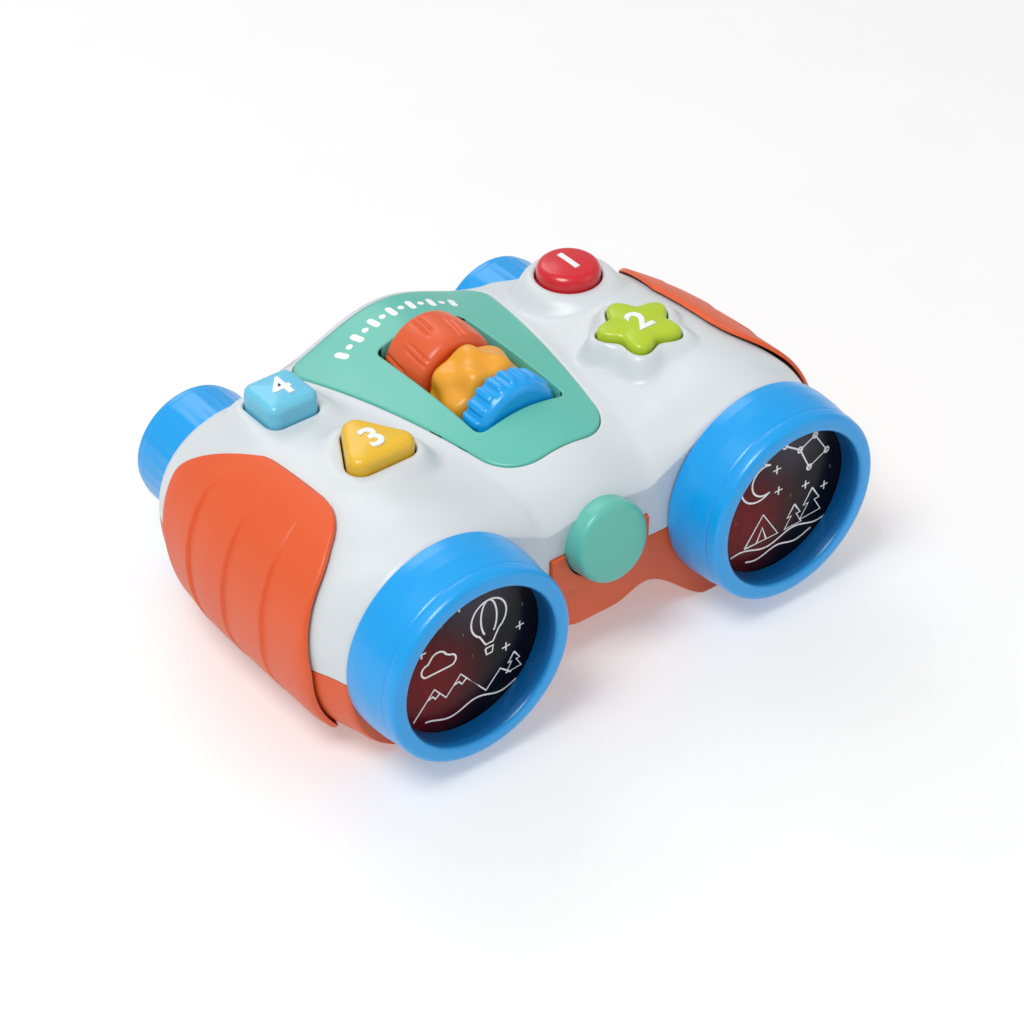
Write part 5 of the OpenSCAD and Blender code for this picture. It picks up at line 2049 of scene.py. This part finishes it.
def rolling(low: int, high: int, level: float, swell: float, pace: float, start: float) -> list[Flat]:
    """Wavy line of the ground from low to high, in steps of a millimetre.

    Args:
        low: First place across.
        high: Last place across.
        level: Middle height.
        swell: Height of the waves.
        pace: Radians for each millimetre.
        start: Radians at the middle.

    Returns:
        The points from left to right.
    """
    return [(x, level + swell * math.sin(pace * x + start)) for x in range(low, high + 1)]


@dataclass
class NightSky:
    """Line drawing on a lens, in the lens's plane: right and up from its middle."""

    line_half: float = 0.34
    dot_half: float = 0.6
    spark_half: float = 0.26
    spark_arm: float = 1.5
    shift: float = 1.5
    pine: tuple[Flat, ...] = ((0, 8), (-2.6, 4), (-1, 4), (-3.4, 0), (3.4, 0), (1, 4), (2.6, 4), (0, 8))

    def balloon_flight(self) -> tuple[list[list[Flat]], list[Flat]]:
        """Balloon and cloud over snowy peaks and a fir.

        Returns:
            The lines, and the places of the stars.
        """
        x, z, r = 6, 9.5, 6.2
        hull = arc_line(x, z, r, -58, 238) + [(4.7, 0.6), (7.3, 0.6), (9.3, 4.2)]
        turns = [math.radians(lerp(90, -56, i / 12)) for i in range(13)]
        gores = [[(x + r * k * math.cos(a), z + r * math.sin(a)) for a in turns] for k in (-0.45, 0.45)]
        basket = [(4.6, -0.9), (7.4, -0.9), (7.0, -3.2), (5.0, -3.2), (4.6, -0.9)]
        cloud = (arc_line(-15, 1.2, 2.2, 250, 90) + arc_line(-11.6, 3.4, 2.8, 150, 20)
                 + arc_line(-7.6, 1.4, 2.0, 90, -90) + [(-15.7, -0.8)])
        peaks = [(-20, -15.5), (-13, -6.5), (-9, -11.5), (-4, -5.5), (5, -16.5), (10, -11), (14, -14.5)]
        snow = [(-15.4, -9.5), (-13.6, -8.9), (-12.6, -10.2), (-11.2, -8.8)]
        cap = [(-6.4, -8.3), (-4.6, -8.0), (-3.6, -9.4), (-1.9, -7.9)]
        ground = rolling(-16, 16, -18.6, 1.2, 0.35, 1)
        fir = [(15, -7.5), (12.9, -10.6), (14.2, -10.6), (12.2, -14), (17.8, -14), (15.8, -10.6),
               (17.1, -10.6), (15, -7.5)]
        stars = [(-10, 14), (-4, 18), (14, 17), (-17, 8), (18, 8), (17, 1), (-3, 8), (12, -4), (0, -1)]
        return [hull, *gores, basket, cloud, peaks, snow, cap, ground, fir], stars

    def camp(self) -> tuple[list[list[Flat]], list[Flat]]:
        """Crescent and a chain of stars over a tent and pines.

        Returns:
            The lines, and the places of the stars.
        """
        crescent = [arc_line(-10, 9, 6.4, 50, 310), arc_line(-7.2, 9, 5.2, 289, 71)]
        chain = [(0, 18), (6, 14), (12, 16.5), (17, 9), (10, 6), (6, 14)]
        knots = [arc_line(x, z, 0.9) for x, z in chain[:-1]]
        tent = [(-14, -13.4), (-7.5, -3.4), (-1, -13.4), (-14, -13.4)]
        flap = [(-9.4, -13.4), (-7.5, -8.2), (-5.6, -13.4)]
        pines = [[(x + size * dx, z + size * dz) for dx, dz in self.pine]
                 for x, z, size in ((5, -13.4, 1.0), (12, -12.6, 1.25))]
        far, near = rolling(-19, 19, -15.4, 1.3, 0.3, 0), rolling(-13, 13, -19, 0.9, 0.4, 2)
        stars = [(-18, -2), (-2, 3), (3, -1), (17, -4), (-13, 18), (-3, 11), (19, 2), (9, 0), (-19, 4)]
        return [*crescent, chain, *knots, tent, flap, *pines, far, near], stars

    def strokes(self, side: Side) -> list[tuple[list[Flat], float]]:
        """Lines of the drawing on one lens, each with its half width.

        Args:
            side: Barrel of the lens.

        Returns:
            The lines, then the stars as dots and crosses by turns.
        """
        lines, stars = self.balloon_flight() if side is Side.LEFT else self.camp()
        dots = [([(x - 0.01, z), (x + 0.01, z)], self.dot_half) for x, z in stars[::2]]
        sparks = [([(x - dx, z - dz), (x + dx, z + dz)], self.spark_half) for x, z in stars[1::2]
                  for dx, dz in ((self.spark_arm, 0.0), (0.0, self.spark_arm))]
        drawn = [(line, self.line_half) for line in lines] + dots + sparks
        return [([(x + self.shift, z) for x, z in line], half) for line, half in drawn]


@dataclass
class Objective:
    """Objective of one barrel: blue ring with a bead lip, and a smoked lens with printed line art."""

    side: Side
    ring_r: float = 32.2
    lip_r: float = 30.9
    ring_back: float = 52.75
    ring_front: float = 73.2
    aperture_r: float = 25.4
    bore_r: float = 26.9
    spigot_back: float = 47.5
    lens_front: float = 65.0
    lens_r: float = 26.6
    lens_t: float = 2.4
    lens_dome: float = 0.9
    lens_rows: int = 10
    seat_gap: float = 0.1
    seat_w: float = 0.4
    ink_lift: float = 0.03
    ink_flat: float = 0.12
    painted_glow_off: Flat = (-16.0, -4.0)

    @property
    def axis_x(self) -> float:
        """Place of the barrel's axis."""
        return self.side.value * AXES.barrel_x

    def build_ring(self) -> Piece:
        """Ring with spigot, flared skirt, groove and bead lip.

        Returns:
            The finished piece.
        """
        front, back, lip = self.ring_front, self.ring_back, self.lip_r
        # Radius, distance in front of the middle and corner radius of each turn
        spigot = [(self.bore_r, self.spigot_back, 0.3), (AXES.spigot_r, self.spigot_back, 0.3),
                  (AXES.spigot_r, back, 0.0)]
        skirt = [(self.ring_r - 0.2, back, 0.9), (self.ring_r, back + 4.0, 3.0),
                 (self.ring_r - 0.3, back + 9.0, 4.0)]
        groove = [(lip + 0.1, front - 5.4, 0.6), (lip - 0.15, front - 4.9, 0.4)]
        bead = [(lip + 0.3, front - 4.0, 1.2), (lip - 0.2, front - 0.2, 2.8)]
        aperture = [(self.aperture_r + 0.4, front, 1.8), (self.aperture_r, front - 3.0, 0.8),
                    (self.aperture_r, self.lens_front, 0.2), (self.bore_r, self.lens_front, 0.1)]
        path = rounded([*spigot, *skirt, *groove, *bead, *aperture], 7)
        ring = spun(f"{self.side.word}_objective_bezel", [(radius, -along) for radius, along in path],
                    self.axis_x, AXES.objective_z, 160)
        soften(ring, 35)
        return ring

    def face(self, radius: float) -> float:
        """Y of the lens face at a radius."""
        return -(self.lens_front + self.lens_dome * (1 - (radius / self.aperture_r) ** 2))

    def build_lens(self) -> Piece:
        """Domed lens seated behind the ring's lip.

        Returns:
            The finished piece.
        """
        back, rim = self.lens_t - self.lens_front, self.seat_gap - self.lens_front
        radii = [self.aperture_r * k / self.lens_rows for k in range(self.lens_rows - 1, -1, -1)]
        profile = [(0.0, back), (self.lens_r, back), (self.lens_r, rim),
                   (self.aperture_r - self.seat_w, rim), *[(r, self.face(r)) for r in radii]]
        lens = spun(f"{self.side.word}_smoked_lens", profile, self.axis_x, AXES.objective_z, 96)
        soften(lens, 30)
        return lens

    def build_stroke(self, line: Sequence[Flat], half: float) -> Piece:
        """One flattened line of ink on the lens.

        Args:
            line: Points in the lens's plane.
            half: Half width of the line.

        Returns:
            The new object.
        """
        curve = bpy.data.curves.new("line", "CURVE")
        curve.dimensions = "3D"
        curve.bevel_depth, curve.bevel_resolution, curve.use_fill_caps = half * MM, 1, True
        spline = curve.splines.new("POLY")
        spline.points.add(len(line) - 1)
        for point, (x, z) in zip(spline.points, line):
            point.co = (x * MM, 0, z * MM, 1)
        stroke = bpy.data.objects.new("line", curve)
        bpy.context.scene.collection.objects.link(stroke)
        select_only(stroke)
        bpy.ops.object.convert(target="MESH")
        stroke = bpy.context.object
        for vertex in stroke.data.vertices:
            x, z = vertex.co.x / MM, vertex.co.z / MM
            y = self.face(math.hypot(x, z)) - self.ink_lift + vertex.co.y / MM * self.ink_flat
            vertex.co = MM * Vector((self.axis_x + x, y, AXES.objective_z + z))
        return stroke

    def build_print(self) -> Piece:
        """Line drawing printed on the lens.

        Returns:
            The finished piece.
        """
        pieces = [self.build_stroke(line, half) for line, half in NightSky().strokes(self.side)]
        whole = joined(pieces, f"{self.side.word}_lens_print")
        soften(whole, 40)
        return whole

    def dress(self, finishes: Finishes) -> None:
        """Build the objective and give it its finish."""
        word = self.side.word
        # Blue ring finish with painted shade inside its bore
        blue = ShadedBorePlastic(f"abs_blue_stained_bore_{word}", *BLUE_TINTS, BLUE_ROUGHNESS, coat=BLUE_COAT,
                            grain_depth_mm=POLISHED_GRAIN, axis_x=self.axis_x, axis_z=AXES.objective_z)
        settle(self.build_ring(), blue.material(), "housing", "blue_plastic", f"{word}_objective_ring")
        # Middle of the painted glow on the lens
        off_x, off_z = self.painted_glow_off
        smoke = SmokedLens(f"acrylic_smoked_{word}",
                           (self.axis_x + off_x, -self.lens_front, AXES.objective_z + off_z))
        settle(self.build_lens(), smoke.material(), "housing", "dark_lens", f"{word}_lens")
        settle(self.build_print(), finishes[Stock.INK], "housing", "dark_lens")


@dataclass
class Eyecup:
    """Ribbed twist cup at the rear of one barrel."""

    side: Side
    radius: float = 20.0
    front: float = 54.4
    back: float = 73.2
    bore: float = 15.56
    step_r: float = 17.1
    step_depth: float = 4.0
    rim_len: float = 2.6
    rim_run: float = 0.8
    rim_in: float = 0.6
    ribs: int = 30
    rib_steps: int = 10
    rib_h: float = 0.3
    rib_front: float = 1.2
    rib_back: float = 3.2
    rib_fade: float = 3.0

    def build(self) -> Piece:
        """Cup with its ribs and rolled rear rim.

        Returns:
            The finished piece.
        """
        back, rim_r = self.back, self.radius - self.rim_in
        floor = back - self.step_depth
        path = rounded([
            (self.bore, self.front, 0.2), (self.radius, self.front, 1.4),
            (self.radius, back - self.rim_len - self.rim_run, 0.8), (rim_r, back - self.rim_len, 0.6),
            (rim_r, back, 1.6), (self.step_r, back, 1.2), (self.step_r, floor, 0.2), (self.bore, floor, 0.2),
        ], 5)
        path.append(path[0])
        rib_from, rib_to = self.front + self.rib_front, back - self.rib_back

        def place(u: float, v: float) -> Point:
            """Point of the cup at shares round its axis and along its section."""
            radius, y = path[round(v * (len(path) - 1))]
            angle = math.tau * u
            if radius > self.step_r + 1 and rib_from < y < rib_to:
                dip = 0.5 - 0.5 * math.cos(self.ribs * angle)
                radius -= self.rib_h * dip * smooth((rib_to - y) / self.rib_fade)
            return (self.side.value * AXES.barrel_x + radius * math.sin(angle), y,
                    AXES.eyecup_z + radius * math.cos(angle))

        piece = shaped_grid(f"{self.side.word}_twist_eyecup", self.ribs * self.rib_steps, len(path) - 1,
                            place)
        weld(piece)
        soften(piece, 45)
        return piece

    def dress(self, finishes: Finishes) -> None:
        """Build the cup and give it its finish."""
        body = f"{self.side.word}_eyecup"
        settle(self.build(), finishes[Stock.BLUE], body, "blue_plastic", body)


class InnerWorks:
    """Pieces that keep their moulded or stamped form and only get their finish."""

    by_slot: dict[str, Stock] = {
        "dome_rubber": Stock.RUBBER, "circuit_board": Stock.BOARD, "inner_white": Stock.INNER,
        "dark_plastic": Stock.CHARCOAL, "clear_lens": Stock.CLEAR, "steel": Stock.STEEL,
        "battery_skin": Stock.CELL, "contact_metal": Stock.CONTACT, "orange_shell": Stock.ORANGE,
    }

    def dress(self, finishes: Finishes) -> None:
        """Give each remaining node the finish of its material slot."""
        for part in frame["record"]["subparts"]:
            piece = frame["nodes"][part["node"]]
            if piece.hide_render:
                continue
            piece.data.materials.clear()
            piece.data.materials.append(finishes[self.by_slot[part["material_slot"]]])
            LOG.info("%s: finish %s", piece.name, part["material_slot"])


# The studio


@dataclass(frozen=True)
class Lamp:
    """Round area light, in metres and watts."""

    name: str
    at: Point
    size: float
    power: float


@dataclass
class Studio:
    """Pale floor, soft lights and the camera."""

    camera_at: Point = (-449.4, -586.0, 592.8)
    azimuth: float = -38.067
    elevation: float = 37.880
    lens_mm: float = 109.264
    sensor_mm: float = 36.0
    floor_size: float = 12000.0
    paper: PrintedInk = PrintedInk("matt_paper_sweep", "#d2d2d2", "#d0d0d0", 40.0, 0.3)
    room_light: float = 0.48
    aim: Point = (0.0, 0.0, 0.03)
    lamps: tuple[Lamp, ...] = (
        Lamp("key", (-0.7, -0.2, 1.4), 0.7, 15.0),
        Lamp("fill", (0.9, -1.1, 0.8), 1.2, 2.0),
        Lamp("back", (0.3, 1.3, 1.2), 1.0, 5.0),
    )

    def build_floor(self) -> None:
        """Floor that fades into the backdrop."""
        deselect()
        bpy.ops.mesh.primitive_plane_add(size=self.floor_size * MM)
        floor = bpy.context.object
        floor.name = "floor"
        floor.data.materials.append(self.paper.material())

    def build_lights(self) -> None:
        """Even white room with a large key light from the upper left."""
        world = bpy.data.worlds.new("studio")
        bpy.context.scene.world = world
        world.use_nodes = True
        room = world.node_tree.nodes["Background"]
        room.inputs["Color"].default_value = (1, 1, 1, 1)
        room.inputs["Strength"].default_value = self.room_light
        for lamp in self.lamps:
            light = bpy.data.lights.new(lamp.name, "AREA")
            light.shape, light.size, light.energy = "DISK", lamp.size, lamp.power
            holder = bpy.data.objects.new(lamp.name, light)
            holder.location = lamp.at
            holder.rotation_euler = (Vector(self.aim) - Vector(lamp.at)).to_track_quat("-Z", "Y").to_euler()
            bpy.context.scene.collection.objects.link(holder)

    def build_camera(self) -> None:
        """Camera at the photograph's angle."""
        data = bpy.data.cameras.new("camera")
        data.lens, data.sensor_width = self.lens_mm, self.sensor_mm
        data.clip_start, data.clip_end = 0.05, 60.0
        camera = bpy.data.objects.new("camera", data)
        a, e = math.radians(self.azimuth), math.radians(self.elevation)
        back = Vector((math.sin(a) * math.cos(e), -math.cos(a) * math.cos(e), math.sin(e)))
        camera.location = MM * Vector(self.camera_at)
        camera.rotation_euler = (-back).to_track_quat("-Z", "Y").to_euler()
        bpy.context.scene.collection.objects.link(camera)
        bpy.context.scene.camera = camera
        bpy.context.scene.view_settings.view_transform = "Standard"

    def build(self) -> None:
        """Set up the stage."""
        self.build_floor()
        self.build_lights()
        self.build_camera()


def main() -> None:
    """Build the sub-assemblies in order."""
    logging.basicConfig(level=logging.INFO, format="%(name)s: %(message)s")
    Studio().build()
    finishes: Finishes = {stock: stock.value.material() for stock in Stock}
    form = BodyForm()
    assemblies = [Shells(form), Grips(form), CentrePanel(form), Wheels(), TopButtons(), FrontButton(),
                  *[Objective(side) for side in Side], *[Eyecup(side) for side in Side], InnerWorks()]
    for assembly in assemblies:
        LOG.info("building %s", type(assembly).__name__)
        assembly.dress(finishes)


if __name__ == "__main__":
    main()
